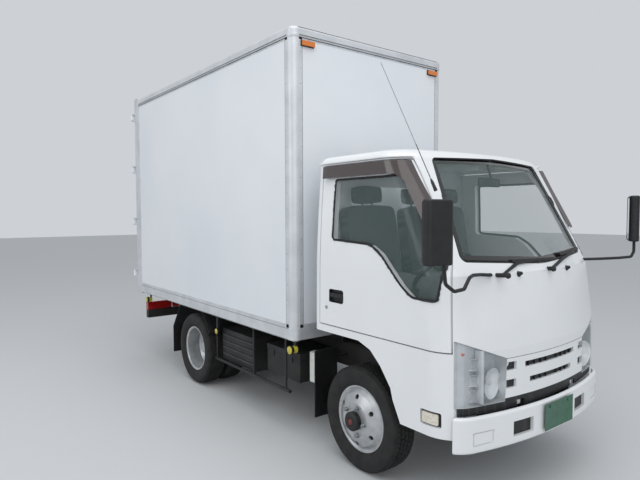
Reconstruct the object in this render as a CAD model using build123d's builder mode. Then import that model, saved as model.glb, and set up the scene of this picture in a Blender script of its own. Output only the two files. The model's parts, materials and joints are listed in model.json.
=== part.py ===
from build123d import *
from math import cos, radians, sin, sqrt
import os

os.makedirs("parts", exist_ok=True)

# Insulated box truck with a tilting cab, in millimetres.
# X points to the truck's left, Y to its rear and Z up; it stands on Z = 0.

# Axles
wheelbase = 2475
front_axle_y = -1587
rear_axle_y = front_axle_y + wheelbase

# Wheels: 205/75 tyres on 16 x 5.5 rims, twins at the rear
tyre_radius = 357
tyre_width = 200
rim_radius = 220
rim_width = 155
rim_wall = 7
disc_offset = 116
disc_wall = 8
front_rim_face_x = 785
rear_rim_face_x = 845
front_wheel_x = front_rim_face_x - rim_width / 2
rear_outer_x = rear_rim_face_x - rim_width / 2
rear_disc_x = rear_outer_x - disc_offset
rear_inner_x = rear_disc_x - disc_offset
spindle_radius = 30
hub_clearance = 0.5
hub_radius = 62
drum_radius = 150

# Ladder frame
frame_half = 350
rail_bottom = 500
rail_height = 180
rail_top = rail_bottom + rail_height
rail_flange = 60
rail_wall = 6
frame_front = front_axle_y - 843
frame_rear = front_axle_y + 3960

# Cab outside: height, half width and front edge at the centre, from the front axle
cab_table = (
    (470, 842, -922),
    (700, 846, -926),
    (960, 847.5, -926),
    (1390, 844.5, -868),
    (1560, 838, -776.4),
    (1740, 828.5, -679.3),
    (1920, 815.5, -582.3),
    (2090, 800, -490),
    (2120, 787, -461),
    (2140, 766, -430),
    (2150, 735, -398),
)
cab_roof_edge = 2090
cab_rear = 440
cab_front_curve = 2680
cab_corner = 200
cab_rear_corner = 60
least_corner = 5
cab_wall = 50
cab_skin = 20
cab_floor_under = 912
cab_floor_top = 950
grille_bottom = 670
lamp_bottom = 652
band_bottom = 602
panel_below_glass = 6
toe_floor_under = rail_top + 10
toe_floor_top = toe_floor_under + 40
cab_sill_x = 600

# Cab tilt at the front end of the frame
tilt_y = front_axle_y - 868
tilt_z = 615
tilt_pin_radius = 9
tilt_arm_radius = 16
tilt_arm_x = (290, 320)
pin_clearance = 0.3

# Cab doors, from the front axle and from the ground
door_gap = 8
door_reach = 700
door_bottom = 960
door_top = 2082
door_rear = 366
door_front = -777
door_front_high = -745
door_bend = 1390
door_hinge_x = 776
door_hinge_y = -793
door_relief = 30
striker_clearance = 0.3
striker_radius = 9
striker_x = 822
striker_z = 1160
door_relief_top = 1050
visor_out = 32
visor_wall = 4

# Glass of the cab
glass_depth = 12
glass_wall = 5
glass_clearance = 0.3
rear_window_width = 1050
rear_window_low = 1560
rear_window_high = 1950

# Grille in the front panel: half width, low and high edge of each long slot
grille_slots = ((285, 832, 866), (240, 735, 768))
grille_squares = ((831, 880), (727, 776))
grille_square_x = (362, 445)
grille_recess = 12
grille_wall = 8
band_notch_x = (268, 342)
band_notch_top = 638

# Front bumper
bumper_front = -957
bumper_half = 850
bumper_low = 397
bumper_high = 606
bumper_depth = 20
bumper_end = -792

# Load box
box_half = 859
box_front = front_axle_y + 680
box_rear = front_axle_y + 4130
box_bottom = 768
box_top = 3160
panel_step = 5
side_wall = 60
floor_top = 905
floor_under = 800
bottom_rail_face = 90
top_rail_face = 72
post_round = 65
top_rounding = 30
frame_depth = 140
rear_frame_y = box_rear - frame_depth
rear_post_face = 60
rear_header_face = 90
rear_sill_low = 755
rear_frame_top = box_top + 10
stop_lip = 24
rear_door_thick = 70
rear_door_gap = 7
rear_hinge_x = box_half + 28
rear_hinge_y = box_rear + 30
rear_hinge_heights = (1000, 1650, 2300, 2950)

# Fittings of the cab
mirror_width = 165
mirror_depth = 66
mirror_height = 335
mirror_arm_radius = 10
steering_wheel_radius = 205
steering_column = ((-400, front_axle_y - 560, 1150), (-400, front_axle_y - 400, 1330))
dash_half = 690
dash_outline = (
    (-900, 1080),
    (-560, 1060),
    (-430, 1150),
    (-440, 1330),
    (-520, 1392),
    (-900, 1392),
)
seat_spans = ((-660, -150), (-60, 700))
seat_outline = (
    (-170, cab_floor_top),
    (cab_rear - cab_wall - 10, cab_floor_top),
    (cab_rear - cab_wall - 5, 1850),
    (300, 1860),
    (215, 1300),
    (-190, 1260),
)

# Box fittings
bearer_places = (900, 1300, 1700, 3000, 3400, 3800)
bearer_height = 60
hinge_half = 32
hinge_lug = 14
hinge_pin_radius = 7
lock_rod_x = (110, 480)
lock_guides = (1000, 1500, 2000, 2500, 2980)
side_marker_y = (730, 3830)

# Bumper openings and plate
bumper_slot_x = (244, 418)
bumper_stay_x = (200, 230)
bumper_rounding = 18
fog_outline = ((572, 445), (712, 440), (712, 520), (566, 520))
fog_depth = 9
bumper_slot_z = (447, 535)
plate_hole_spacing = 210
plate_hole_radius = 3.5
plate_hole_z = 565

# Side views of the rear mudguards
mudguard_outlines = (
    (
        (wheelbase - 175, box_bottom),
        (wheelbase - 169, box_bottom),
        (wheelbase - 319, 580),
        (wheelbase - 325, 560),
        (wheelbase - 331, 560),
        (wheelbase - 331, 580),
    ),
    (
        (wheelbase + 350, box_bottom),
        (wheelbase + 356, box_bottom),
        (wheelbase + 561, 500),
        (wheelbase + 561, 207),
        (wheelbase + 555, 207),
        (wheelbase + 555, 500),
    ),
)

# Frame fittings
ear_x = ((278, 286), (324, 332))
cross_members = (
    (-790, 540, 640),
    (1130, 605, 665),
    (1750, 540, 640),
    (3150, 540, 640),
    (3880, 540, 640),
)
spring_leaf = 10
front_spring_low = 368
rear_spring_low = 447
spring_sets = (
    (front_axle_y, 540, front_spring_low, 470),
    (rear_axle_y, 620, rear_spring_low, 485),
)
spring_hangers = ((-525, 470.3), (525, 470.3), (wheelbase - 605, 485.3), (wheelbase + 605, 485.3))

# Wipers as seen from the front: pivot, outline of the arm and of the blade
wiper_sets = (
    (
        (-463, 1383),
        ((-470, 1376), (-456, 1374), (-262, 1438), (-50, 1452), (-50, 1464), (-268, 1454)),
        ((-300, 1451), (170, 1444), (170, 1458), (-300, 1466)),
    ),
    (
        (32, 1390),
        ((24, 1392), (36, 1382), (270, 1438), (480, 1470), (480, 1482), (262, 1452)),
        ((262, 1464), (655, 1484), (655, 1500), (262, 1480)),
    ),
)

# Steering
kingpin_x = 600
kingpin_radius = 14
boss_radius = 30
boss_half = 35
ear_bottom = 36
ear_top = 60
knuckle_web_x = (642, 660)
front_spindle_end = 830
steer_arm = 150
tie_rod_radius = 13
tie_rod_z = tyre_radius - 72

# Axle and hub details
drum_inner_x = 668
drum_x = (455, 560)
axle_tube_radius = 45
banjo_radius = 150
banjo_steps = ((62, banjo_radius), (88, 132), (112, 98))
rear_spindle_end = 720
vent_count = 6
vent_circle = 158
vent_radius = 16


def y_at(distance):
    """Y of a place given as its distance behind the front axle."""
    return front_axle_y + distance


def span(low, high, side=1):
    """A range in order, carried to one side of the truck."""
    return tuple(sorted((side * low, side * high)))


def block(x, y, z, mode=Mode.ADD):
    """A box from its ranges in X, Y and Z."""
    with Locations(((x[0] + x[1]) / 2, (y[0] + y[1]) / 2, (z[0] + z[1]) / 2)):
        Box(x[1] - x[0], y[1] - y[0], z[1] - z[0], mode=mode)


def block_part(x, y, z):
    """A box from its ranges, on its own."""
    with BuildPart() as piece:
        block(x, y, z, Mode.ADD)
    return piece.part


def rod(start, end, radius, mode=Mode.ADD):
    """A round bar from one point to another."""
    axis = Vector(*end) - Vector(*start)
    with BuildSketch(Plane(origin=start, z_dir=axis)) as end_face:
        Circle(radius)
    extrude(end_face.sketch, amount=axis.length, mode=mode)


def keep(name, piece):
    """Label a finished piece and write it out."""
    piece.part.label = name
    export_step(piece.part, f"parts/{name}.step")


def plan_outline(half, nose, tail, curve, corner, rear_corner):
    """Draw a plan view outline in the current sketch, with a bowed front and round corners."""
    set_back = curve - sqrt(curve**2 - half**2)
    with BuildLine() as edge:
        ThreePointArc((-half, nose + set_back), (0, nose), (half, nose + set_back))
        Polyline((half, nose + set_back), (half, tail), (-half, tail), (-half, nose + set_back))
    outline = make_face(edge.edges())
    outline = fillet(outline.vertices().sort_by(Axis.Y)[:2], corner)
    if rear_corner:
        fillet(outline.vertices().sort_by(Axis.Y)[-2:], rear_corner)


def cab_form(inset):
    """The cab's outside as a solid, drawn in by an inset."""
    with BuildPart() as form:
        for height, half, front in cab_table:
            drop = inset if height >= cab_roof_edge else 0
            with BuildSketch(Plane.XY.offset(height - drop)):
                plan_outline(
                    half - inset,
                    y_at(front) + inset,
                    y_at(cab_rear) - inset,
                    cab_front_curve - inset,
                    cab_corner - inset,
                    max(cab_rear_corner - inset, least_corner),
                )
        loft(ruled=True)
    return form.part


def side_face(points, rounding=0, shrink=0):
    """A side view face from places behind the front axle and heights."""
    with BuildSketch() as face:
        with BuildLine():
            Polyline(*[(y_at(y), z) for y, z in points], close=True)
        make_face()
        if rounding:
            fillet(face.vertices(), rounding)
        if shrink:
            offset(amount=-shrink, kind=Kind.INTERSECTION)
    return face.sketch


def side_prism(face, x):
    """A side view face carried across a range in X."""
    with BuildPart() as prism:
        with BuildSketch(Plane.YZ.offset(x[0])):
            add(face)
        extrude(amount=x[1] - x[0])
    return prism.part


def front_prism(points, low_y, high_y, rounding=0, shrink=0):
    """A front view outline, mirrored to both sides and carried across a range in Y."""
    other = [(-x, z) for x, z in points]
    outlines = [list(points) + other[-2:0:-1]] if points[0][0] == 0 else [points, other]
    with BuildPart() as prism:
        with BuildSketch(Plane.XZ.offset(-high_y)) as face:
            for outline in outlines:
                with BuildLine():
                    Polyline(*outline, close=True)
                make_face()
            if rounding:
                fillet(face.vertices().filter_by(lambda v: abs(v.X) > 1), rounding)
            if shrink:
                offset(amount=-shrink, kind=Kind.INTERSECTION)
        extrude(amount=high_y - low_y)
    return prism.part


def front_strip(points, low_y, high_y):
    """A front view outline that isn't mirrored, carried across a range in Y."""
    with BuildPart() as prism:
        with BuildSketch(Plane.XZ.offset(-high_y)) as face:
            with BuildLine():
                Polyline(*points, close=True)
            make_face()
        extrude(amount=high_y - low_y)
    return prism.part


# Side views of the cab's openings and edges: distance behind the front axle, height
door_outline = (
    (door_rear, door_bottom),
    (door_rear, door_top),
    (-395, door_top),
    (-455, 1985),
    (-545, 1830),
    (-728, 1450),
    (door_front_high, door_bend),
    (door_front, door_bottom),
)
window_outline = (
    (235, 1560),
    (-150, 1541),
    (-240, 1490),
    (-424, 1306),
    (-510, 1246),
    (-695, 1240),
    (-712, 1440),
    (-470, 1855),
    (-370, 1985),
    (228, 1985),
)
visor_outline = (
    (332, 2072),
    (-390, 2072),
    (-462, 1952),
    (-650, 1645),
    (-606, 1632),
    (-415, 1945),
    (-350, 1990),
    (332, 1990),
)
visor_rim_outline = (
    (332, 2072),
    (-390, 2072),
    (-462, 1952),
    (-650, 1645),
    (-644, 1643),
    (-457, 1950),
    (-387, 2067),
    (332, 2067),
)
arch_outline = (
    (600, cab_floor_under),
    (-48, cab_floor_under),
    (-163, 872),
    (-255, 789),
    (-344, 671),
    (-363, 600),
    (-425, 472),
    (-425, 300),
    (600, 300),
)
underside_outline = (
    (-300, toe_floor_under),
    (-1100, toe_floor_under),
    (-1100, 300),
    (-300, 300),
)
room_outline = (
    (600, cab_floor_top),
    (-100, cab_floor_top),
    (-300, 880),
    (-420, toe_floor_top),
    (-1100, toe_floor_top),
    (-1100, 2400),
    (600, 2400),
)
windscreen_outline = ((0, 1428), (680, 1466), (578, 2094), (0, 2112))
lamp_outline = ((440, 905), (900, 1077), (900, lamp_bottom), (452, lamp_bottom))
lamp_rear = -800
lamp_depth = 85
side_lamp_outline = ((-726, 530), (-726, 618), (-586, 618), (-586, 530))
side_lamp_depth = 14
gutter_outline = ((-440, 2094), (425, 2094), (425, 2106), (-440, 2106))
gutter_out = 12
handle_outline = ((256, 1130), (256, 1222), (104, 1222), (104, 1130))
handle_depth = 22
lid_low = 905
lid_gap = 4

cab_outside = cab_form(0)
cab_inside = cab_form(cab_wall)
cab_lining = cab_form(cab_skin)
glass_layer = cab_form(glass_depth) - cab_form(glass_depth + glass_wall)
room = cab_inside & side_prism(side_face(room_outline), (-900, 900))
door_cut_y = y_at(door_front) - door_gap / 2

panel_top = windscreen_outline[0][1] - panel_below_glass
front_zone_outline = (
    (-1100, lamp_bottom),
    (door_front - door_gap / 2, lamp_bottom),
    (door_front - door_gap / 2, door_bottom),
    (door_front_high - door_gap / 2, door_bend),
    (door_front_high - door_gap / 2, panel_top),
    (-1100, panel_top),
)
front_layer = side_prism(side_face(front_zone_outline), (-900, 900)) - cab_lining
front_skin = cab_outside & front_layer

windscreen_hole = front_prism(windscreen_outline, y_at(-1100), y_at(-300), 40)
lamp_inside = front_prism(lamp_outline, y_at(-1100), y_at(lamp_rear)) - cab_form(lamp_depth)
lamp_pocket = lamp_inside & cab_outside
gutter_layer = cab_form(-gutter_out) - cab_form(1)
side_lamp_floor = cab_form(side_lamp_depth)
rear_window_outline = (
    (rear_window_width / 2, rear_window_low),
    (rear_window_width / 2, rear_window_high),
    (-rear_window_width / 2, rear_window_high),
    (-rear_window_width / 2, rear_window_low),
)


def rear_window_prism(shrink, depth):
    """The rear window's outline cut into the cab's rear wall from the outside."""
    with BuildPart() as prism:
        with BuildSketch(Plane.XZ.offset(-y_at(cab_rear) - 1)) as face:
            with Locations((0, (rear_window_low + rear_window_high) / 2)):
                Rectangle(rear_window_width, rear_window_high - rear_window_low)
            fillet(face.vertices(), 60)
            if shrink:
                offset(amount=-shrink)
        extrude(amount=depth + 1)
    return prism.part


# Cab shell: roof, pillars, rear wall, floor and lower sides, on the arms that it tilts on
with BuildPart() as cab_shell:
    add(cab_outside)
    add(room, mode=Mode.SUBTRACT)
    add(side_prism(side_face(arch_outline), (-900, 900)), mode=Mode.SUBTRACT)
    add(side_prism(side_face(underside_outline), (-cab_sill_x, cab_sill_x)), mode=Mode.SUBTRACT)
    add(front_layer, mode=Mode.SUBTRACT)
    block((-900, 900), (y_at(-1100), door_cut_y), (300, toe_floor_under), mode=Mode.SUBTRACT)
    for side in (-1, 1):
        opening = span(door_reach - door_gap, 900, side)
        add(side_prism(side_face(door_outline), opening), mode=Mode.SUBTRACT)
    add(windscreen_hole, mode=Mode.SUBTRACT)
    add(rear_window_prism(0, 100), mode=Mode.SUBTRACT)
    add(lamp_pocket, mode=Mode.SUBTRACT)
    for side in (-1, 1):
        pocket = side_prism(side_face(side_lamp_outline, 12), span(700, 900, side))
        add(pocket - side_lamp_floor, mode=Mode.SUBTRACT)
        gutter = side_prism(side_face(gutter_outline), span(700, 900, side))
        add(gutter & gutter_layer)
        rod(
            (side * striker_x, y_at(door_rear + 3), striker_z),
            (side * striker_x, y_at(door_rear - door_gap + striker_clearance), striker_z),
            striker_radius,
        )
    for side in (-1, 1):
        block(
            span(*tilt_arm_x, side),
            (tilt_y - tilt_arm_radius, tilt_y + tilt_arm_radius),
            (tilt_z, toe_floor_under + 5),
        )
        rod((side * tilt_arm_x[0], tilt_y, tilt_z), (side * tilt_arm_x[1], tilt_y, tilt_z), tilt_arm_radius)
        rod(
            (side * (tilt_arm_x[0] - 1), tilt_y, tilt_z),
            (side * (tilt_arm_x[1] + 1), tilt_y, tilt_z),
            tilt_pin_radius + pin_clearance,
            mode=Mode.SUBTRACT,
        )
keep("cab_shell", cab_shell)

# Front panel of the cab, with the slots of its grille and the headlamps in its corners
with BuildPart() as front_lid:
    add(front_skin)
    block((-900, 900), (y_at(-1100), y_at(0)), (0, lid_low), mode=Mode.SUBTRACT)
    add(windscreen_hole, mode=Mode.SUBTRACT)
    add(front_prism(lamp_outline, y_at(-1100), y_at(-600)), mode=Mode.SUBTRACT)
keep("front_lid", front_lid)

with BuildPart() as grille_panel:
    add(front_skin)
    block((-900, 900), (y_at(-1100), y_at(0)), (lid_low - lid_gap, 1600), mode=Mode.SUBTRACT)
    block((-900, 900), (y_at(-1100), y_at(0)), (0, grille_bottom), mode=Mode.SUBTRACT)
    add(front_prism(lamp_outline, y_at(-1100), y_at(-600)), mode=Mode.SUBTRACT)
    with BuildSketch(Plane.XZ.offset(-y_at(-700))):
        for half_width, low, high in grille_slots:
            with Locations((0, (low + high) / 2)):
                Rectangle(2 * half_width, high - low)
        for low, high in grille_squares:
            for side in (-1, 1):
                with Locations((side * sum(grille_square_x) / 2, (low + high) / 2)):
                    Rectangle(grille_square_x[1] - grille_square_x[0], high - low)
    extrude(amount=400, mode=Mode.SUBTRACT)
keep("grille_panel", grille_panel)

with BuildPart() as headlamps:
    add(front_prism(lamp_outline, y_at(-1100), y_at(-600), shrink=0.5))
    add(front_skin, mode=Mode.INTERSECT)
    deep = front_prism(lamp_outline, y_at(-1100), y_at(lamp_rear - 1), shrink=0.5) - cab_form(lamp_depth - 1)
    add(deep & cab_outside)
keep("headlamps", headlamps)

with BuildPart() as lower_grille:
    block((-900, 900), (y_at(-1100), door_cut_y - 5), (band_bottom, grille_bottom))
    add(cab_form(grille_recess), mode=Mode.INTERSECT)
    add(cab_form(grille_recess + grille_wall), mode=Mode.SUBTRACT)
    add(front_prism(lamp_outline, y_at(-1100), y_at(-600)), mode=Mode.SUBTRACT)
    for side in (-1, 1):
        block(span(*band_notch_x, side), (y_at(-1100), y_at(0)), (0, band_notch_top), mode=Mode.SUBTRACT)
keep("lower_grille", lower_grille)

with BuildPart() as cab_windows:
    add(front_prism(windscreen_outline, y_at(-1100), y_at(-300), 40, glass_clearance))
    add(rear_window_prism(glass_clearance, 60))
    add(glass_layer, mode=Mode.INTERSECT)
keep("cab_windows", cab_windows)

# Doors of the cab: the whole wall, its glass and the smoked visor over it
visor_layer = cab_form(-visor_out) - cab_form(-visor_out + visor_wall)
visor_web = cab_form(-visor_out) - cab_form(-0.2)
for side, name in ((-1, "driver_door"), (1, "passenger_door")):
    reach = span(door_reach, 950, side)
    with BuildPart() as door:
        add(side_prism(side_face(door_outline, 0, door_gap), reach))
        add(cab_outside, mode=Mode.INTERSECT)
        add(cab_inside, mode=Mode.SUBTRACT)
        add(side_prism(side_face(window_outline, 30), reach), mode=Mode.SUBTRACT)
        pocket = span(cab_table[2][1] - handle_depth, 900, side)
        add(side_prism(side_face(handle_outline, 20), pocket), mode=Mode.SUBTRACT)
        rod(
            (side * door_hinge_x, y_at(door_hinge_y), door_bottom - 50),
            (side * door_hinge_x, y_at(door_hinge_y), door_relief_top),
            door_relief,
            mode=Mode.SUBTRACT,
        )
    keep(name, door)
    with BuildPart() as door_glass:
        add(side_prism(side_face(window_outline, 30, glass_clearance), reach))
        add(glass_layer, mode=Mode.INTERSECT)
    keep(name + "_glass", door_glass)
    with BuildPart() as visor_rim:
        add(side_prism(side_face(visor_rim_outline), reach))
        add(visor_web, mode=Mode.INTERSECT)
    with BuildPart() as visor:
        add(side_prism(side_face(visor_outline), reach))
        add(visor_layer, mode=Mode.INTERSECT)
        add(visor_rim.part)
    keep(name + "_visor", visor)

# Mirrors on tube arms from the corners of the cab: middle of the housing, turn, path of the arm
cab_seat = cab_form(-0.3) & block_part((-900, 900), (y_at(-1100), y_at(0)), (0, windscreen_outline[0][1] - 2))
mirror_sets = (
    (
        (-1058, y_at(-885), 1650),
        -18,
        (
            (-505, y_at(-800), 1390),
            (-530, y_at(-840), 1392),
            (-620, y_at(-828), 1400),
            (-720, y_at(-852), 1406),
            (-790, y_at(-880), 1400),
            (-868, y_at(-905), 1348),
            (-950, y_at(-905), 1343),
            (-1012, y_at(-898), 1385),
            (-1022, y_at(-893), 1500),
        ),
    ),
    (
        (1072, y_at(-942), 1702),
        28,
        (
            (680, y_at(-750), 1410),
            (790, y_at(-850), 1415),
            (900, y_at(-925), 1420),
            (1000, y_at(-960), 1425),
            (1045, y_at(-960), 1460),
            (1050, y_at(-958), 1560),
        ),
    ),
)
with BuildPart() as mirrors:
    for middle, turn, path in mirror_sets:
        plane = Plane(origin=middle, x_dir=(cos(radians(turn)), sin(radians(turn)), 0), z_dir=(0, 0, 1))
        with BuildSketch(plane.offset(-mirror_height / 2)) as housing:
            RectangleRounded(mirror_width, mirror_depth, mirror_depth / 2 - 2)
        housing_part = extrude(amount=mirror_height)
        fillet(housing_part.edges().group_by(Axis.Z)[-1] + housing_part.edges().group_by(Axis.Z)[0], 12)
        with BuildLine() as arm:
            FilletPolyline(*path, radius=30)
        with BuildSketch(Plane(origin=path[0], z_dir=arm.line % 0)):
            Circle(mirror_arm_radius)
        sweep(path=arm.line)
        add(cab_seat, mode=Mode.SUBTRACT)
keep("mirrors", mirrors)

# Dashboard with the steering column, seats and wheel
with BuildPart() as dashboard:
    add(side_prism(side_face(dash_outline), (-dash_half, dash_half)))
    add(cab_form(cab_wall + 1), mode=Mode.INTERSECT)
    rod(steering_column[0], steering_column[1], 35)
keep("dashboard", dashboard)

with BuildPart() as seats:
    for low, high in seat_spans:
        add(side_prism(side_face(seat_outline), (low, high)))
keep("seats", seats)

wheel_axis = Vector(*steering_column[1]) - Vector(*steering_column[0])
wheel_plane = Plane(origin=steering_column[1], x_dir=(1, 0, 0), z_dir=wheel_axis)
with BuildPart() as steering_wheel:
    with Locations(wheel_plane.offset(40).location):
        Torus(steering_wheel_radius, 14)
        with Locations((0, 0, -25)):
            Cylinder(48, 28)
        for turn in (0, 120, 240):
            with Locations(Rotation(0, 0, turn + 90) * Pos(steering_wheel_radius / 2 + 18, 0, -12)):
                Box(steering_wheel_radius - 50, 24, 12)
keep("steering_wheel", steering_wheel)

# Wipers: a pivot in the lid, an arm over it and a blade along the foot of the glass
arm_layer = cab_form(-14) - cab_form(-6)
blade_layer = cab_form(-9) - cab_form(glass_depth - 1)
with BuildPart() as wipers:
    for (pivot_x, pivot_z), arm, blade in wiper_sets:
        rod((pivot_x, y_at(-800), pivot_z), (pivot_x, y_at(-905), pivot_z + 8), 13)
        add(front_strip(blade, y_at(-1000), y_at(-600)) & blade_layer)
        add(front_strip(arm, y_at(-1000), y_at(-600)) & arm_layer)
    add(cab_seat, mode=Mode.SUBTRACT)
keep("wipers", wipers)

# Ladder frame: two channel rails, cross members, the ears and pins that the cab tilts on
with BuildPart() as chassis_frame:
    for side in (-1, 1):
        with BuildSketch(Plane.XZ.offset(-frame_front)):
            with Locations((side * (frame_half - rail_flange / 2), rail_bottom + rail_height / 2)):
                Rectangle(rail_flange, rail_height)
            with Locations((side * (frame_half - rail_flange / 2 - rail_wall), rail_bottom + rail_height / 2)):
                Rectangle(rail_flange, rail_height - 2 * rail_wall, mode=Mode.SUBTRACT)
        extrude(amount=-(frame_rear - frame_front))
        for x in ear_x:
            block(span(x[0], x[1], side), (tilt_y, frame_front), (tilt_z - 30, tilt_z + tilt_arm_radius))
            rod((side * x[0], tilt_y, tilt_z), (side * x[1], tilt_y, tilt_z), tilt_arm_radius)
        rod((side * ear_x[0][0], tilt_y, tilt_z), (side * ear_x[1][1], tilt_y, tilt_z), tilt_pin_radius)
    block((-frame_half, frame_half), (frame_front - 6, frame_front), (rail_bottom, rail_top - 10))
    for y, low, high in cross_members:
        block((-frame_half + rail_wall, frame_half - rail_wall), (y_at(y) - 35, y_at(y) + 35), (low, high))
    for y, low in spring_hangers:
        for side in (-1, 1):
            block(span(frame_half - 65, frame_half - 5, side), (y_at(y) - 25, y_at(y) + 25), (low, rail_bottom))
    rod((-frame_half, y_at(640), 600), (-615, y_at(640), 600), 10)
keep("chassis_frame", chassis_frame)

# Leaf springs: axle, half length, height at the axle, height at the ends
with BuildPart() as leaf_springs:
    for axle_y, half_length, low, high in spring_sets:
        for side in (-1, 1):
            for leaf in range(3):
                reach = half_length * (1 - 0.22 * leaf)
                rise = (high - low) * (reach / half_length) ** 2
                base = low - spring_leaf * leaf
                with BuildSketch(Plane.YZ.offset(side * (frame_half - 35) - 30)):
                    with BuildLine():
                        ThreePointArc(
                            (axle_y - reach, base + rise), (axle_y, base), (axle_y + reach, base + rise)
                        )
                        Line((axle_y + reach, base + rise), (axle_y + reach, base + rise - spring_leaf))
                        ThreePointArc(
                            (axle_y + reach, base + rise - spring_leaf),
                            (axle_y, base - spring_leaf),
                            (axle_y - reach, base + rise - spring_leaf),
                        )
                        Line((axle_y - reach, base + rise - spring_leaf), (axle_y - reach, base + rise))
                    make_face()
                extrude(amount=60)
            block(
                (side * (frame_half - 35) - 30, side * (frame_half - 35) + 30),
                (axle_y - 45, axle_y + 45),
                (low - 4 * spring_leaf, low - 2),
            )
keep("leaf_springs", leaf_springs)

# Front axle: dropped beam with a boss and pin for each steering knuckle
axle_top = front_spring_low - 4 * spring_leaf
with BuildPart() as front_axle:
    block((-475, 475), (front_axle_y - 32, front_axle_y + 32), (axle_top - 60, axle_top))
    for side in (-1, 1):
        with BuildSketch(Plane.XZ.offset(-(front_axle_y + 32))):
            with BuildLine():
                Polyline(
                    (side * 470, axle_top - 60),
                    (side * 470, axle_top),
                    (side * 548, tyre_radius + boss_half),
                    (side * kingpin_x, tyre_radius + boss_half),
                    (side * kingpin_x, tyre_radius - boss_half),
                    (side * 548, tyre_radius - boss_half),
                    close=True,
                )
            make_face()
        extrude(amount=64)
        rod(
            (side * kingpin_x, front_axle_y, tyre_radius - boss_half),
            (side * kingpin_x, front_axle_y, tyre_radius + boss_half),
            boss_radius,
        )
        rod(
            (side * kingpin_x, front_axle_y, tyre_radius - ear_top),
            (side * kingpin_x, front_axle_y, tyre_radius + ear_top),
            kingpin_radius,
        )
keep("front_axle", front_axle)

# Steering knuckles, each a yoke on the king pin with a spindle and an arm to the tie rod
for side, name in ((-1, "knuckle_right"), (1, "knuckle_left")):
    with BuildPart() as knuckle:
        for low, high in ((-ear_top, -ear_bottom), (ear_bottom, ear_top)):
            rod(
                (side * kingpin_x, front_axle_y, tyre_radius + low),
                (side * kingpin_x, front_axle_y, tyre_radius + high),
                boss_radius + 8,
            )
            block(
                span(kingpin_x, knuckle_web_x[1], side),
                (front_axle_y - boss_radius - 8, front_axle_y + boss_radius + 8),
                (tyre_radius + low, tyre_radius + high),
            )
        block(
            span(*knuckle_web_x, side),
            (front_axle_y - boss_radius - 8, front_axle_y + boss_radius + 8),
            (tyre_radius - ear_top, tyre_radius + ear_top),
        )
        rod(
            (side * knuckle_web_x[1], front_axle_y, tyre_radius),
            (side * front_spindle_end, front_axle_y, tyre_radius),
            spindle_radius,
        )
        block(
            span(kingpin_x - 14, kingpin_x + 14, side),
            (front_axle_y + boss_radius + 3, front_axle_y + steer_arm),
            (tie_rod_z + tie_rod_radius + 3, tyre_radius - ear_bottom),
        )
        rod(
            (side * kingpin_x, front_axle_y + steer_arm, tie_rod_z + tie_rod_radius + 3),
            (side * kingpin_x, front_axle_y + steer_arm, tyre_radius - ear_bottom),
            20,
        )
        rod(
            (side * kingpin_x, front_axle_y + steer_arm, tie_rod_z - tie_rod_radius),
            (side * kingpin_x, front_axle_y + steer_arm, tyre_radius - ear_bottom),
            8,
        )
        rod(
            (side * kingpin_x, front_axle_y, tyre_radius - ear_top - 1),
            (side * kingpin_x, front_axle_y, tyre_radius + ear_top + 1),
            kingpin_radius + pin_clearance,
            mode=Mode.SUBTRACT,
        )
    keep(name, knuckle)

# Tie rod between the two steering arms
with BuildPart() as tie_rod:
    rod(
        (-kingpin_x + 16, front_axle_y + steer_arm, tie_rod_z),
        (kingpin_x - 16, front_axle_y + steer_arm, tie_rod_z),
        tie_rod_radius,
    )
    for side in (-1, 1):
        rod(
            (side * kingpin_x, front_axle_y + steer_arm, tie_rod_z - tie_rod_radius - 2),
            (side * kingpin_x, front_axle_y + steer_arm, tie_rod_z + tie_rod_radius + 2),
            22,
        )
        rod(
            (side * kingpin_x, front_axle_y + steer_arm, tie_rod_z - 30),
            (side * kingpin_x, front_axle_y + steer_arm, tie_rod_z + 30),
            8 + (pin_clearance if side < 0 else 4 * pin_clearance),
            mode=Mode.SUBTRACT,
        )
keep("tie_rod", tie_rod)

# Rear axle: banjo housing with a tube and a spindle to each side
with BuildPart() as rear_axle:
    rod((-drum_x[0] + 15, rear_axle_y, tyre_radius), (drum_x[0] - 15, rear_axle_y, tyre_radius), axle_tube_radius)
    rod((-rear_spindle_end, rear_axle_y, tyre_radius), (rear_spindle_end, rear_axle_y, tyre_radius), spindle_radius)
    for reach, radius in banjo_steps:
        rod((0, rear_axle_y - reach, tyre_radius), (0, rear_axle_y + reach, tyre_radius), radius)
    rod((0, rear_axle_y - banjo_radius - 60, tyre_radius + 10), (0, rear_axle_y, tyre_radius), 55)
    for side in (-1, 1):
        block(
            span(frame_half - 65, frame_half - 5, side),
            (rear_axle_y - 45, rear_axle_y + 45),
            (tyre_radius, rear_spring_low - 4 * spring_leaf),
        )
keep("rear_axle", rear_axle)

with BuildPart() as propeller_shaft:
    rod((0, y_at(1056.1), 560), (0, rear_axle_y - banjo_radius - 63.9, tyre_radius + 18), 38)
keep("propeller_shaft", propeller_shaft)

# Engine and gearbox as one plain block on its mounts
with BuildPart() as engine:
    block((-255, 255), (y_at(-235), y_at(400)), (430, 790))
    block((-255, 255), (y_at(-95), y_at(400)), (790, 870))
    block((-130, 130), (y_at(400), y_at(1050)), (440, 680))
    block((-frame_half + rail_wall, frame_half - rail_wall), (y_at(-60), y_at(40)), (545, 625))
keep("engine", engine)


def wheel_plane_at(x, axle, side, flip=1):
    """A plane through a wheel's middle, its first direction pointing outwards."""
    return Plane(origin=(side * x, axle, tyre_radius), x_dir=(side * flip, 0, 0), z_dir=(0, 0, 1))


def turned(points, plane):
    """A solid turned about a wheel's axis from distances outwards and radii."""
    with BuildSketch(plane) as section:
        with BuildLine():
            Polyline(*points, close=True)
        make_face()
    revolve(section.sketch, axis=Axis(plane.origin, plane.x_dir))


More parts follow.
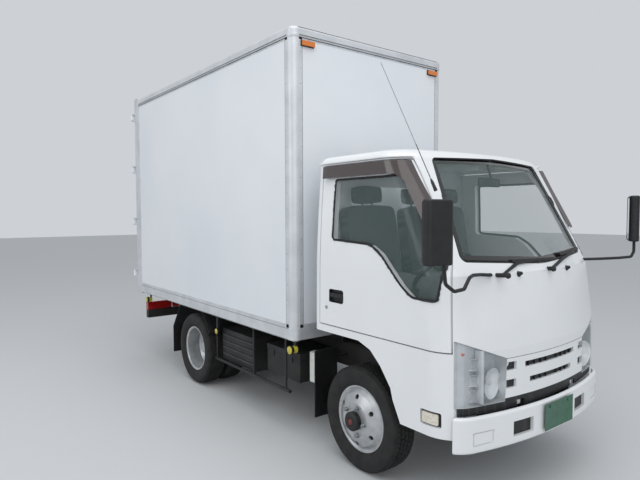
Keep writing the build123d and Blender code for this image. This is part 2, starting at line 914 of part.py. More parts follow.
tyre_points = (
    (-70, rim_radius - 6),
    (-70, rim_radius + 3),
    (-90, 248),
    (-100, 292),
    (-93, 336),
    (-78, 352),
    (-62, tyre_radius),
    (62, tyre_radius),
    (78, 352),
    (93, 336),
    (100, 292),
    (90, 248),
    (70, rim_radius + 3),
    (70, rim_radius - 6),
)
barrel = rim_radius - 6.4
rim_points = (
    (-rim_width / 2, rim_radius + 4),
    (-71, rim_radius + 4),
    (-71, barrel),
    (71, barrel),
    (71, rim_radius + 4),
    (rim_width / 2, rim_radius + 4),
    (rim_width / 2, rim_radius - 6),
    (70, barrel - rim_wall - 4),
    (-70, barrel - rim_wall - 4),
    (-rim_width / 2, rim_radius - 6),
)
disc_points = (
    (30, barrel - 1),
    (30, barrel - 14),
    (60, 200),
    (88, 172),
    (104, 140),
    (disc_offset, 118),
    (disc_offset, hub_radius),
    (disc_offset + disc_wall, hub_radius),
    (disc_offset + disc_wall, 120),
    (112, 146),
    (94, 180),
    (66, 208),
)

for side, hand in ((-1, "right"), (1, "left")):
    plane = wheel_plane_at(front_wheel_x, front_axle_y, side)
    with BuildPart() as tyre:
        turned(tyre_points, plane)
    keep(f"front_{hand}_tyre", tyre)
    with BuildPart() as wheel:
        turned(rim_points, plane)
        turned(disc_points, plane)
        for turn in range(vent_count):
            angle = radians(turn * 360 / vent_count + 90)
            y = front_axle_y + vent_circle * cos(angle)
            z = tyre_radius + vent_circle * sin(angle)
            rod(
                (side * (front_wheel_x + 60), y, z),
                (side * (front_wheel_x + 140), y, z),
                vent_radius,
                mode=Mode.SUBTRACT,
            )
        turned(
            (
                (drum_inner_x - front_wheel_x, spindle_radius + hub_clearance),
                (drum_inner_x - front_wheel_x, drum_radius),
                (40, drum_radius),
                (55, 110),
                (disc_offset, 100),
                (disc_offset, hub_radius),
                (disc_offset + 40, hub_radius),
                (disc_offset + 48, 50),
                (disc_offset + 48, 0),
                (front_spindle_end - front_wheel_x + 4, 0),
                (front_spindle_end - front_wheel_x + 4, spindle_radius + hub_clearance),
            ),
            plane,
        )
    keep(f"front_{hand}_wheel", wheel)

    outer = wheel_plane_at(rear_outer_x, rear_axle_y, side, -1)
    inner = wheel_plane_at(rear_inner_x, rear_axle_y, side)
    with BuildPart() as tyres:
        turned(tyre_points, outer)
        turned(tyre_points, inner)
    keep(f"rear_{hand}_tyres", tyres)
    with BuildPart() as wheels:
        for plane in (outer, inner):
            turned(rim_points, plane)
            turned(disc_points, plane)
        for turn in range(vent_count):
            angle = radians(turn * 360 / vent_count + 90)
            y = rear_axle_y + vent_circle * cos(angle)
            z = tyre_radius + vent_circle * sin(angle)
            rod(
                (side * (rear_disc_x - 60), y, z),
                (side * (rear_disc_x + 60), y, z),
                vent_radius,
                mode=Mode.SUBTRACT,
            )
        turned(
            (
                (drum_x[0] - rear_inner_x, spindle_radius + hub_clearance),
                (drum_x[0] - rear_inner_x, drum_radius),
                (drum_x[1] - rear_inner_x, drum_radius),
                (drum_x[1] - rear_inner_x + 10, 100),
                (rear_disc_x - disc_wall - rear_inner_x, 90),
                (rear_disc_x - disc_wall - rear_inner_x, hub_radius),
                (rear_disc_x + 100 - rear_inner_x, hub_radius),
                (rear_disc_x + 108 - rear_inner_x, 50),
                (rear_disc_x + 108 - rear_inner_x, 0),
                (rear_spindle_end - rear_inner_x + 4, 0),
                (rear_spindle_end - rear_inner_x + 4, spindle_radius + hub_clearance),
            ),
            inner,
        )
    keep(f"rear_{hand}_wheels", wheels)

# Load box: floor on bearers and sills, insulated walls and roof
wall_face_x = box_half - panel_step
wall_inner_x = wall_face_x - side_wall
wall_front = box_front + panel_step
box_corner_y = box_front + post_round
roof_under = box_top - top_rail_face
with BuildPart() as box_floor:
    block((-wall_inner_x, wall_inner_x), (wall_front + side_wall, rear_frame_y), (floor_under, floor_top))
keep("box_floor", box_floor)

with BuildPart() as floor_bearers:
    for side in (-1, 1):
        block(
            span(frame_half - rail_flange, frame_half - 5, side),
            (box_front + 20, rear_frame_y),
            (rail_top, floor_under - bearer_height - 0.3),
        )
    for y in bearer_places:
        block(
            (-wall_inner_x, wall_inner_x),
            (y_at(y) - 25, y_at(y) + 25),
            (floor_under - bearer_height, floor_under),
        )
keep("floor_bearers", floor_bearers)

with BuildPart() as box_side_walls:
    for side in (-1, 1):
        block(span(wall_inner_x, wall_face_x, side), (box_corner_y, rear_frame_y), (floor_under, roof_under))
keep("box_side_walls", box_side_walls)

with BuildPart() as box_front_wall:
    block((-wall_inner_x, wall_inner_x), (wall_front, wall_front + side_wall), (floor_under, roof_under))
keep("box_front_wall", box_front_wall)

with BuildPart() as box_roof:
    block((-wall_inner_x, wall_inner_x), (wall_front + side_wall, rear_frame_y), (roof_under, box_top - panel_step))
keep("box_roof", box_roof)


def box_ring(inset, low, high):
    """A plan view outline of the box with its round front corners, carried up a height."""
    with BuildPart() as ring:
        with BuildSketch(Plane.XY.offset(low)) as outline:
            with Locations((0, (box_front + inset + rear_frame_y) / 2)):
                Rectangle(2 * (box_half - inset), rear_frame_y - box_front - inset)
            front = outline.vertices().group_by(Axis.Y)[0]
            if post_round > inset:
                fillet(front, post_round - inset)
        extrude(amount=high - low)
    return ring.part


# Aluminium edges of the box: bottom rails, corner posts and roof rails in one frame
bottom_rail_top = box_bottom + bottom_rail_face
inner_span = (-wall_inner_x, wall_inner_x)
with BuildPart() as edge_rails:
    add(box_ring(0, box_bottom, bottom_rail_top))
    add(box_ring(panel_step, bottom_rail_top - 1, roof_under + 1))
    add(box_ring(0, roof_under, box_top))
    top_edges = edge_rails.edges().group_by(Axis.Z)[-1]
    fillet(top_edges.filter_by(lambda e: e.center().Y < rear_frame_y - 1), top_rounding)
    block(inner_span, (wall_front, rear_frame_y), (box_bottom - 50, box_top - panel_step), mode=Mode.SUBTRACT)
    block(inner_span, (box_corner_y, rear_frame_y), (roof_under, box_top + 50), mode=Mode.SUBTRACT)
    block(inner_span, (box_front - 50, wall_front + 1), (bottom_rail_top, roof_under), mode=Mode.SUBTRACT)
    for side in (-1, 1):
        panel_cuts = (((wall_inner_x, wall_face_x), floor_under), ((wall_inner_x, box_half + 50), bottom_rail_top))
        for x, low in panel_cuts:
            block(span(*x, side), (box_corner_y, rear_frame_y), (low, roof_under), mode=Mode.SUBTRACT)
keep("edge_rails", edge_rails)

# Rear door frame with a stop lip all round and the fixed halves of the hinges
with BuildPart() as rear_door_frame:
    block((-box_half - 3, box_half + 3), (rear_frame_y, box_rear), (rear_sill_low, rear_frame_top))
    opening_x = box_half - rear_post_face
    opening_top = rear_frame_top - rear_header_face
    block(
        (-opening_x, opening_x),
        (box_rear - rear_door_thick - 5, box_rear + 1),
        (floor_top, opening_top),
        mode=Mode.SUBTRACT,
    )
    block(
        (-opening_x + stop_lip, opening_x - stop_lip),
        (rear_frame_y - 1, box_rear),
        (floor_top, opening_top - stop_lip),
        mode=Mode.SUBTRACT,
    )
    for side in (-1, 1):
        for z in rear_hinge_heights:
            lugs = ((z - hinge_half - hinge_lug, z - hinge_half), (z + hinge_half, z + hinge_half + hinge_lug))
            for low, high in lugs:
                block(span(opening_x + 20, rear_hinge_x, side), (box_rear, rear_hinge_y + 10), (low, high))
                rod((side * rear_hinge_x, rear_hinge_y, low), (side * rear_hinge_x, rear_hinge_y, high), 12)
            rod(
                (side * rear_hinge_x, rear_hinge_y, z - hinge_half - hinge_lug),
                (side * rear_hinge_x, rear_hinge_y, z + hinge_half + hinge_lug),
                hinge_pin_radius,
            )
keep("rear_door_frame", rear_door_frame)

for side, hand in ((-1, "right"), (1, "left")):
    with BuildPart() as leaf:
        block(
            span(rear_door_gap / 2, opening_x - rear_door_gap, side),
            (box_rear - rear_door_thick, box_rear),
            (floor_top + rear_door_gap, opening_top - rear_door_gap),
        )
        for z in rear_hinge_heights:
            block(
                span(opening_x - 260, rear_hinge_x, side),
                (box_rear + 16, box_rear + 24),
                (z - hinge_half + 1, z + hinge_half - 1),
            )
            block(
                span(opening_x - 260, opening_x - rear_door_gap, side),
                (box_rear, box_rear + 16),
                (z - hinge_half + 1, z + hinge_half - 1),
            )
            rod(
                (side * rear_hinge_x, rear_hinge_y, z - hinge_half + 1),
                (side * rear_hinge_x, rear_hinge_y, z + hinge_half - 1),
                14,
            )
            rod(
                (side * rear_hinge_x, rear_hinge_y, z - hinge_half),
                (side * rear_hinge_x, rear_hinge_y, z + hinge_half),
                hinge_pin_radius + pin_clearance,
                mode=Mode.SUBTRACT,
            )
    keep(f"rear_door_{hand}", leaf)
    with BuildPart() as lock:
        for x in lock_rod_x:
            rod((side * x, box_rear + 20, floor_top + 30), (side * x, box_rear + 20, opening_top - 30), 12)
            for z in lock_guides:
                block(span(x - 30, x + 30, side), (box_rear, box_rear + 34), (z - 20, z + 20))
        x = lock_rod_x[0]
        block(span(x - 8, x + 300, side), (box_rear + 12, box_rear + 24), (1290, 1320))
    keep(f"rear_door_{hand}_lock", lock)

# Bumpers, lamps and what hangs under the frame
with BuildPart() as bumper_skin:
    with BuildSketch(Plane.XY.offset(bumper_low)):
        plan_outline(bumper_half + 1, y_at(bumper_front) - 1, y_at(0), cab_front_curve, cab_corner, 0)
    extrude(amount=bumper_high - bumper_low)
    with BuildSketch(Plane.XY.offset(bumper_low)):
        plan_outline(
            bumper_half - fog_depth,
            y_at(bumper_front) + fog_depth,
            y_at(1),
            cab_front_curve - fog_depth,
            cab_corner - fog_depth,
            0,
        )
    extrude(amount=bumper_high - bumper_low, mode=Mode.SUBTRACT)
fog_layer = bumper_skin.part
with BuildPart() as front_bumper:
    with BuildSketch(Plane.XY.offset(bumper_low)):
        plan_outline(bumper_half, y_at(bumper_front), y_at(0), cab_front_curve, cab_corner, 0)
    extrude(amount=bumper_high - bumper_low)
    for side in (-1, 1):
        recess = front_strip([(side * x, z) for x, z in fog_outline], y_at(-1100), y_at(-600))
        add(recess & fog_layer, mode=Mode.SUBTRACT)
    rims = front_bumper.edges().group_by(Axis.Z)
    fillet([e for e in rims[-1] + rims[0] if e.center().Y < y_at(-100)], bumper_rounding)
    with BuildSketch(Plane.XY.offset(bumper_low)):
        plan_outline(
            bumper_half - bumper_depth,
            y_at(bumper_front) + bumper_depth,
            y_at(1),
            cab_front_curve - bumper_depth,
            cab_corner - bumper_depth,
            0,
        )
    extrude(amount=bumper_high - bumper_low, mode=Mode.SUBTRACT)
    block((-900, 900), (y_at(bumper_end), y_at(10)), (0, 1000), mode=Mode.SUBTRACT)
    with BuildSketch(Plane.XZ.offset(-y_at(-700))):
        for side in (-1, 1):
            with Locations((side * sum(bumper_slot_x) / 2, sum(bumper_slot_z) / 2)):
                Rectangle(bumper_slot_x[1] - bumper_slot_x[0], bumper_slot_z[1] - bumper_slot_z[0])
            with Locations((side * plate_hole_spacing / 2, plate_hole_z)):
                Circle(plate_hole_radius)
    extrude(amount=400, mode=Mode.SUBTRACT)
    for side in (-1, 1):
        block(span(*bumper_stay_x, side), (y_at(bumper_front) + bumper_depth, frame_front - 6), (500, 560))
        block(span(bumper_stay_x[0], frame_half, side), (frame_front - 16, frame_front - 6), (500, 560))
keep("front_bumper", front_bumper)

with BuildPart() as rear_bumper:
    block((-780, 780), (box_rear - 130, box_rear - 60), (430, 530))
    for side in (-1, 1):
        block(span(frame_half - 60, frame_half, side), (frame_rear - 90, box_rear - 130), (440, rail_bottom))
keep("rear_bumper", rear_bumper)

with BuildPart() as body_lamps:
    for side in (-1, 1):
        block(span(470, 780, side), (box_rear - 120, box_rear - 50), (530, 630))
        block(span(655, 769, side), (wall_front - 26, wall_front), (3015, 3050))
        for y in side_marker_y:
            rod((side * 800, y_at(y), 690), (side * (box_half + 4), y_at(y), 690), 30)
            block(span(800, 812, side), (y_at(y) - 15, y_at(y) + 15), (690, box_bottom))
keep("body_lamps", body_lamps)

with BuildPart() as fuel_tank:
    block((400, 770), (y_at(820), y_at(wheelbase - 725)), (330, 650))
    fillet(fuel_tank.edges().filter_by(Axis.Y), 50)
    for y in (950, wheelbase - 875):
        block((frame_half, 500), (y_at(y) - 25, y_at(y) + 25), (520, 640))
keep("fuel_tank", fuel_tank)

with BuildPart() as battery_box:
    block((-740, -430), (y_at(760), y_at(1240)), (400, 630))
    block((-440, -frame_half), (y_at(800), y_at(1200)), (520, 600))
keep("battery_box", battery_box)

with BuildPart() as condenser_unit:
    block((-770, -420), (y_at(1400), y_at(wheelbase - 465)), (340, 640))
    for z in (400, 460, 520, 580):
        block((-780, -760), (y_at(1420), y_at(wheelbase - 485)), (z - 8, z + 8))
    block((-430, -frame_half), (y_at(1500), y_at(1900)), (520, 620))
keep("condenser_unit", condenser_unit)

with BuildPart() as exhaust:
    rod((200, y_at(1200), 400), (200, y_at(1800), 400), 85)
    rod((200, y_at(1790), 400), (200, y_at(1880), 400), 25)
    rod((200, y_at(1870), 400), (790, y_at(1900), 380), 25)
    block((185, 215), (y_at(1740), y_at(1760)), (400, 540))
keep("exhaust", exhaust)

with BuildPart() as side_guards:
    for side in (-1, 1):
        rod((side * 806, y_at(800), 335), (side * 806, y_at(wheelbase - 395), 335), 14)
        for y in (860, 1360, wheelbase - 425):
            rod((side * 806, y_at(y), 335), (side * 806, y_at(y), box_bottom), 10)
keep("side_guards", side_guards)

# Rear mudguards: a slanted plate before and behind each pair of tyres, with a flap
with BuildPart() as rear_mudguards:
    for side in (-1, 1):
        for points in mudguard_outlines:
            add(side_prism(side_face(points), span(430, 850, side)))
keep("rear_mudguards", rear_mudguards)

with BuildPart() as coolant_tank:
    block((-700, -615), (y_at(580), y_at(700)), (430, 660))
    fillet(coolant_tank.edges().filter_by(Axis.Z), 25)
keep("coolant_tank", coolant_tank)

with BuildPart() as evaporator_unit:
    block((-480, 480), (wall_front + side_wall, wall_front + side_wall + 420), (roof_under - 260, roof_under))
keep("evaporator_unit", evaporator_unit)
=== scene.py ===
# %% [markdown]
# # A light truck with an insulated box, finished in Blender
#
# The CAD model gives every size and every joint. This lesson gives the truck its looks: paint,
# glass, rubber and metal, and the small pieces that a CAD model of this kind leaves out. It
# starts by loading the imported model, and notes its size to compare with at the end.

# %% Load the CAD model
import json
from math import cos, pi, radians, sin

import bmesh
import bpy
from mathutils import Matrix, Vector
from mathutils.bvhtree import BVHTree


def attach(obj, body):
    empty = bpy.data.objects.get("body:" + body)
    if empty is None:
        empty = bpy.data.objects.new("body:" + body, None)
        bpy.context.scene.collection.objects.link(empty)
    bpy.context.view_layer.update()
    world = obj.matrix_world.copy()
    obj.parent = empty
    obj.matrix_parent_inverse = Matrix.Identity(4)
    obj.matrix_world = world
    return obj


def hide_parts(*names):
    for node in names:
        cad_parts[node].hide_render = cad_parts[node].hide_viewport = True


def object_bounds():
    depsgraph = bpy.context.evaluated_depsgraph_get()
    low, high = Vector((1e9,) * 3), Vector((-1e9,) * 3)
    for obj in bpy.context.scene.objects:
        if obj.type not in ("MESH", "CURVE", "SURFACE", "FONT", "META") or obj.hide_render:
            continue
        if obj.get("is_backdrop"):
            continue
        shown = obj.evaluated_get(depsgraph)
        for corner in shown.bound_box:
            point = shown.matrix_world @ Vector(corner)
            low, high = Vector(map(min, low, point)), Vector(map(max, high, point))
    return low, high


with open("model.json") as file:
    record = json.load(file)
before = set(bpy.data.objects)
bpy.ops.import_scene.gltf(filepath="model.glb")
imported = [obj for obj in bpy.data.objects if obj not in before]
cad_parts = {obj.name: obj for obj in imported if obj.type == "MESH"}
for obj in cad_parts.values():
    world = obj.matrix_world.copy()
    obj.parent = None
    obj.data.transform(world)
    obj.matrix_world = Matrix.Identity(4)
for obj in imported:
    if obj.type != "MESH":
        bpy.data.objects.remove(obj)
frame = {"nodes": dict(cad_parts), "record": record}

cad_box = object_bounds()

# %% [markdown]
# The camera stands where the photo was taken from. Solved from the truck's own known sizes, it
# is 1.75 m above the ground, near the right front corner. Its lens is given by the photo's focal
# length of 535.7 pixels in a picture 640 pixels wide.

# %% Camera
front_axle_y = -1.587
eye = Vector((-3.1762, -2.6544 + front_axle_y, 1.7510))
yaw = radians(37.7121)
pitch = radians(-2.9007)
roll = radians(-0.1722)
ahead = Vector((sin(yaw) * cos(pitch), cos(yaw) * cos(pitch), sin(pitch)))
level = Vector((cos(yaw), -sin(yaw), 0))
above = level.cross(ahead)
right = level * cos(roll) + above * sin(roll)
up = above * cos(roll) - level * sin(roll)
camera_data = bpy.data.cameras.new("camera")
camera_data.sensor_width = 36
camera_data.lens = 36 * 535.6545 / 640
camera = bpy.data.objects.new("camera", camera_data)
camera.matrix_world = Matrix((right, up, -ahead)).transposed().to_4x4()
camera.location = eye
bpy.context.scene.collection.objects.link(camera)
bpy.context.scene.camera = camera
print("lens", round(camera_data.lens, 2), "mm")

# %% [markdown]
# Every material is a small tree of shader nodes. A few helpers serve them all: they turn a colour
# written as on a screen into the linear light that shaders count in, put a node in the tree with
# its settings and its links, start a material, vary its colour and give it a fine bump.

# %% Material helpers
def linear(hex_colour):
    """Turn an sRGB hex colour into linear light, with full cover."""
    channels = [int(hex_colour[i:i + 2], 16) / 255 for i in (1, 3, 5)]
    return [c / 12.92 if c <= 0.04045 else ((c + 0.055) / 1.055) ** 2.4 for c in channels] + [1]


def add_node(tree, kind, settings=(), links=()):
    """Put a node in a tree, with its settings and the sockets that feed it."""
    node = tree.nodes.new(kind)
    for name, value in dict(settings).items():
        if isinstance(name, int) or name in node.inputs:
            node.inputs[name].default_value = value
        else:
            setattr(node, name, value)
    for name, source in dict(links).items():
        tree.links.new(source, node.inputs[name])
    return node


def tree_and_surface(material):
    """The node tree of a material, and the shader in it."""
    return material.node_tree, material.node_tree.nodes["Principled BSDF"]


def new_material(name, colour, roughness, **shader):
    """Start a material as a plain surface of a colour and a roughness."""
    material = bpy.data.materials.new(name)
    material.use_nodes = True
    tree, surface = tree_and_surface(material)
    surface.inputs["Base Color"].default_value = linear(colour)
    surface.inputs["Roughness"].default_value = roughness
    for name, value in shader.items():
        surface.inputs[name.replace("_", " ")].default_value = value
    return material


def speckle(material, colours, scale):
    """Vary a material's colour between two shades over noise patches of a scale."""
    tree, surface = tree_and_surface(material)
    place = add_node(tree, "ShaderNodeTexCoord")
    noise = add_node(
        tree, "ShaderNodeTexNoise", {"Scale": scale, "Detail": 4}, {"Vector": place.outputs["Object"]}
    )
    ramp = add_node(tree, "ShaderNodeValToRGB", links={"Fac": noise.outputs["Fac"]})
    for element, position, colour in zip(ramp.color_ramp.elements, (0.35, 0.65), colours):
        element.position = position
        element.color = linear(colour)
    tree.links.new(ramp.outputs["Color"], surface.inputs["Base Color"])


def grain(material, scale, depth, strength=0.4):
    """Give a material a fine bump from noise of a scale and a depth in metres."""
    tree, surface = tree_and_surface(material)
    place = add_node(tree, "ShaderNodeTexCoord")
    noise = add_node(
        tree, "ShaderNodeTexNoise", {"Scale": scale, "Detail": 2}, {"Vector": place.outputs["Object"]}
    )
    bump = add_node(
        tree, "ShaderNodeBump", {"Strength": strength, "Distance": depth}, {"Height": noise.outputs["Fac"]}
    )
    tree.links.new(bump.outputs["Normal"], surface.inputs["Normal"])

# %% [markdown]
# The cab wears sprayed enamel under a clear coat: a smooth gloss with the very slight orange
# peel of sprayed paint. The box is skinned in gel coat panels, a little duller and cooler.

# %% Paints
cab_enamel = new_material("cab_enamel", "#e6e8ea", 0.32, Coat_Weight=0.6, Coat_Roughness=0.06)
speckle(cab_enamel, ("#e4e6e8", "#e9ebec"), 1.5)
grain(cab_enamel, 220, 0.0002, 0.08)
box_gelcoat = new_material("box_gelcoat", "#e2e6ea", 0.38, Coat_Weight=0.2, Coat_Roughness=0.15)
speckle(box_gelcoat, ("#dfe3e8", "#e6e9ec"), 0.8)
grain(box_gelcoat, 30, 0.0012, 0.1)

# %% [markdown]
# The box's edges are extruded aluminium with a matt anodised film, which scatters light into a
# wide soft highlight. Locks and guard bars are hot-dip galvanised steel, cloudy with spangles.

# %% Metals
anodised_rail = new_material("anodised_rail", "#d0d3d6", 0.46, Metallic=0.4)
speckle(anodised_rail, ("#cbcfd2", "#d9dcdf"), 6)
grain(anodised_rail, 400, 0.0002, 0.1)
galvanised_steel = new_material("galvanised_steel", "#9da1a3", 0.48, Metallic=0.8)
speckle(galvanised_steel, ("#8b8f92", "#aeb2b4"), 60)
wheel_silver = new_material("wheel_silver", "#b4b6b8", 0.34, Metallic=0.55, Coat_Weight=0.3)
speckle(wheel_silver, ("#aaacaf", "#bec0c1"), 12)
bare_casting = new_material("bare_casting", "#3c3b39", 0.7, Metallic=0.4)
speckle(bare_casting, ("#2f2d2b", "#4d4a46"), 25)
grain(bare_casting, 300, 0.0006)
chassis_black = new_material("chassis_black", "#1b1b1c", 0.55)
speckle(chassis_black, ("#151516", "#2a2826"), 5)
grain(chassis_black, 150, 0.0005, 0.2)

# %% [markdown]
# Black moulded plastic has a fine leather-like grain that keeps it dull. Tyre rubber is nearly
# black, with slightly browner patches.

# %% Plastics and rubber
moulded_black = new_material("moulded_black", "#161617", 0.5)
speckle(moulded_black, ("#131314", "#1c1c1d"), 20)
grain(moulded_black, 900, 0.0003, 0.3)
moulded_grey = new_material("moulded_grey", "#5b5e60", 0.6)
speckle(moulded_grey, ("#55585a", "#626567"), 20)
grain(moulded_grey, 800, 0.0003, 0.3)
tyre_rubber = new_material("tyre_rubber", "#1c1c1c", 0.78)
speckle(tyre_rubber, ("#171717", "#262524"), 14)
grain(tyre_rubber, 500, 0.0005, 0.3)
seat_cloth = new_material("seat_cloth", "#4a4d52", 0.95, Sheen_Weight=0.3)
speckle(seat_cloth, ("#42454a", "#53565b"), 300)
tank_plastic = new_material("tank_plastic", "#d9dbd4", 0.4, Subsurface_Weight=0.3)
speckle(tank_plastic, ("#d2d4cc", "#e0e2dc"), 20)

# %% [markdown]
# Window glass is tinted green in the mass, which shows as a faint colour over what lies behind.
# The rain visors over the doors are brown-smoked acrylic. A lamp lens is clear polycarbonate.

# %% Clear materials
window_glass = new_material(
    "window_glass", "#7d9490", 0.03, Alpha=0.13, Coat_Weight=1, Coat_Roughness=0.02
)
smoked_acrylic = new_material("smoked_acrylic", "#4b4140", 0.12, Alpha=0.85, Coat_Weight=0.6)
lamp_lens = new_material("lamp_lens", "#cfd3d6", 0.05, Alpha=0.13, Coat_Weight=1)
side_lens = new_material("side_lens", "#d9d2c4", 0.12, Coat_Weight=0.8)
speckle(side_lens, ("#cfc6b4", "#e2ddd2"), 70)
amber_lens = new_material("amber_lens", "#d9761c", 0.15, Coat_Weight=0.8)

# %% [markdown]
# Each CAD node names the stuff that it is made of, and that name picks one of the finishes above.
# The side guards are painted like the frame.

# %% Finishes of the CAD nodes
by_slot = {
    "white_paint": cab_enamel,
    "white_panel": box_gelcoat,
    "aluminium_rail": anodised_rail,
    "floor_alloy": anodised_rail,
    "lamp_glass": lamp_lens,
    "orange_lens": amber_lens,
    "black_plastic": moulded_black,
    "grey_plastic": moulded_grey,
    "seat_fabric": seat_cloth,
    "tinted_glass": window_glass,
    "smoked_plastic": smoked_acrylic,
    "clear_plastic": tank_plastic,
    "bare_steel": bare_casting,
    "cast_block": bare_casting,
    "dark_frame": chassis_black,
    "galvanised": galvanised_steel,
    "tyre_rubber": tyre_rubber,
    "silver_wheel": wheel_silver,
}
for part in frame["record"]["subparts"]:
    mesh = frame["nodes"][part["node"]].data
    mesh.materials.clear()
    mesh.materials.append(by_slot[part["material_slot"]])
frame["nodes"]["side_guards"].data.materials[0] = chassis_black

# %% [markdown]
# Seals, plates, lenses and mesh all follow the panel that they sit on. Such a piece is drawn flat,
# as seen from the front or a side, cut into small triangles, and each corner is then dropped on
# the CAD surface with a ray. Lifted a little and given a thickness, it fits any curve. Where a
# pane lies deeper than the panel, each node is given its own lift.

# %% Pieces that lie on a panel
up_axis = Vector((0, 0, 1))
to_rear = Vector((0, 1, 0))
long_edge = 0.04
gap_depth = 0.03
ray_start = 5
ray_shift = 0.002
trees = {}


def y_at(y):
    """The place along the truck of a distance behind the front axle in millimetres."""
    return front_axle_y + y / 1000


def tree_of(node):
    """A search tree of a CAD node's surface."""
    if node not in trees:
        mesh = frame["nodes"][node].data
        corners = [v.co for v in mesh.vertices]
        trees[node] = BVHTree.FromPolygons(corners, [list(p.vertices) for p in mesh.polygons])
    return trees[node]


def flat_face(points, toward=to_rear, rounding=0, segments=4):
    """A flat face from places along and up in millimetres, as seen looking in a direction."""
    along = toward.cross(up_axis)
    bm = bmesh.new()
    bm.faces.new([bm.verts.new(along * (u / 1000) + up_axis * (z / 1000)) for u, z in points])
    if rounding:
        bmesh.ops.bevel(
            bm, geom=bm.verts[:], offset=rounding, segments=segments, profile=0.5,
            affect="VERTICES", material=-1,
        )
    return bm


def side_points(points, side):
    """Places behind the front axle and up, as seen from the truck's left (1) or right (-1)."""
    return [(side * y_at(y) * 1000, z) for y, z in points]


def verts_in(geom):
    """The vertices among what an operator made."""
    return [v for v in geom if isinstance(v, bmesh.types.BMVert)]


def rim_of(bm, outwards, inwards):
    """Keep only a rim round a flat face, some way outwards and some way inwards."""
    middle = bm.faces[:]
    even = {"use_even_offset": True, "use_boundary": True}
    if outwards:
        bmesh.ops.inset_region(bm, faces=middle, thickness=outwards, use_outset=True, **even)
    middle = [f for f in bm.faces if f in middle] or bm.faces[:1]
    if inwards:
        bmesh.ops.inset_region(bm, faces=middle, thickness=inwards, **even)
    bmesh.ops.delete(bm, geom=middle, context="FACES")
    return bm


def lay(bm, onto, toward, lift, thickness, step=long_edge):
    """Drop flat faces on CAD nodes along a direction, and give them a thickness."""
    bmesh.ops.triangulate(bm, faces=bm.faces[:])
    for halving in range(7):
        long_ones = [e for e in bm.edges if e.calc_length() > step]
        if not long_ones:
            break
        bmesh.ops.subdivide_edges(bm, edges=long_ones, cuts=1)
        bmesh.ops.triangulate(bm, faces=[f for f in bm.faces if len(f.verts) > 3])
    along = toward.cross(up_axis)
    asides = [Vector((0, 0, 0))]
    for a, b in ((1, 0), (-1, 0), (0, 1), (0, -1)):
        asides.append((along * a + up_axis * b) * ray_shift)
    for vert in bm.verts:
        start = vert.co - toward * ray_start
        found = []
        for aside in asides:
            hits = []
            for node, extra in onto.items():
                place, normal, face, distance = tree_of(node).ray_cast(start + aside, toward)
                if place is not None:
                    hits.append((distance - extra, normal, extra))
            found.append(min(hits, key=lambda h: h[0]) if hits else (100, None, 0))
        depth, normal, extra = found[0]
        nearest = min(found, key=lambda h: h[0])
        if depth > nearest[0] + gap_depth:
            depth, normal, extra = nearest
        vert.co = start + toward * (depth + extra) + normal * (extra + lift)
    for vert in verts_in(bmesh.ops.extrude_face_region(bm, geom=bm.faces[:])["geom"]):
        near = min((tree_of(node).find_nearest(vert.co) for node in onto), key=lambda f: f[3])
        vert.co += near[1] * thickness
    return bm


def piece(name, bm, material, body, sharp=35):
    """Write a mesh to a named piece that moves with a body."""
    bmesh.ops.recalc_face_normals(bm, faces=bm.faces[:])
    mesh = bpy.data.meshes.new(name)
    bm.to_mesh(mesh)
    bm.free()
    mesh.shade_smooth()
    mesh.set_sharp_from_angle(angle=radians(sharp))
    mesh.materials.append(material)
    made = bpy.data.objects.new(name, mesh)
    bpy.context.scene.collection.objects.link(made)
    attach(made, body)
    return made


def thicken(made, thickness, offset=-1):
    """Give a sheet a wall, to the side that the offset says."""
    wall = made.modifiers.new("wall", "SOLIDIFY")
    wall.thickness = thickness
    wall.offset = offset


# %% [markdown]
# Most other pieces are blocks with softened edges, turned shapes, or rods. A block starts as a
# cube; a turned shape is a profile spun about its axis. Several can share one mesh, so that like
# pieces such as nuts and rivets make one object.

# %% Blocks, turned shapes and rods


def add_block(bm, low, high, softness=0.003, segments=2, turn=None):
    """Add a block between opposite corners, its edges softened, turned about its middle if asked."""
    low, high = (Vector(map(pick, low, high)) for pick in (min, max))
    size = high - low
    made = bmesh.ops.create_cube(bm, size=1, matrix=Matrix.Diagonal((*size, 1)))["verts"]
    if softness:
        edges = {e for v in made for e in v.link_edges}
        made = bmesh.ops.bevel(
            bm, geom=list(edges), offset=softness, segments=segments, profile=0.5,
            affect="EDGES", material=-1,
        )["verts"]
        made = list({v for start in made for f in start.link_faces for v in f.verts})
    place = Matrix.Translation((low + high) / 2)
    if turn:
        place = place @ turn.to_4x4()
    bmesh.ops.transform(bm, matrix=place, verts=made)
    return made


def add_turned(bm, profile, origin, axis, steps=32):
    """Add a shape spun from distances along an axis and radii, in millimetres."""
    axis = Vector(axis).normalized()
    across = axis.orthogonal().normalized()
    verts = [bm.verts.new(Vector(origin) + axis * (a / 1000) + across * (r / 1000)) for a, r in profile]
    edges = [bm.edges.new(pair) for pair in zip(verts, verts[1:])]
    bmesh.ops.spin(
        bm, geom=verts + edges, cent=origin, axis=axis, dvec=(0, 0, 0), angle=2 * pi, steps=steps,
        use_merge=True, use_duplicate=False,
    )
    bmesh.ops.remove_doubles(bm, verts=bm.verts[:], dist=0.00002)
    return bm


def add_rod(bm, start, end, radius, segments=12):
    """Add a straight round rod between two places."""
    start, end = Vector(start), Vector(end)
    run = end - start
    place = Matrix.Translation((start + end) / 2) @ run.to_track_quat("Z", "Y").to_matrix().to_4x4()
    bmesh.ops.create_cone(
        bm, cap_ends=True, segments=segments, radius1=radius, radius2=radius, depth=run.length, matrix=place
    )
    return bm


# %% [markdown]
# The windscreen is bonded in: a black rubber lip covers the joint, and inside it a band of black
# ceramic paint fired on the glass hides the glue. The band is a separate thin sheet on the pane.

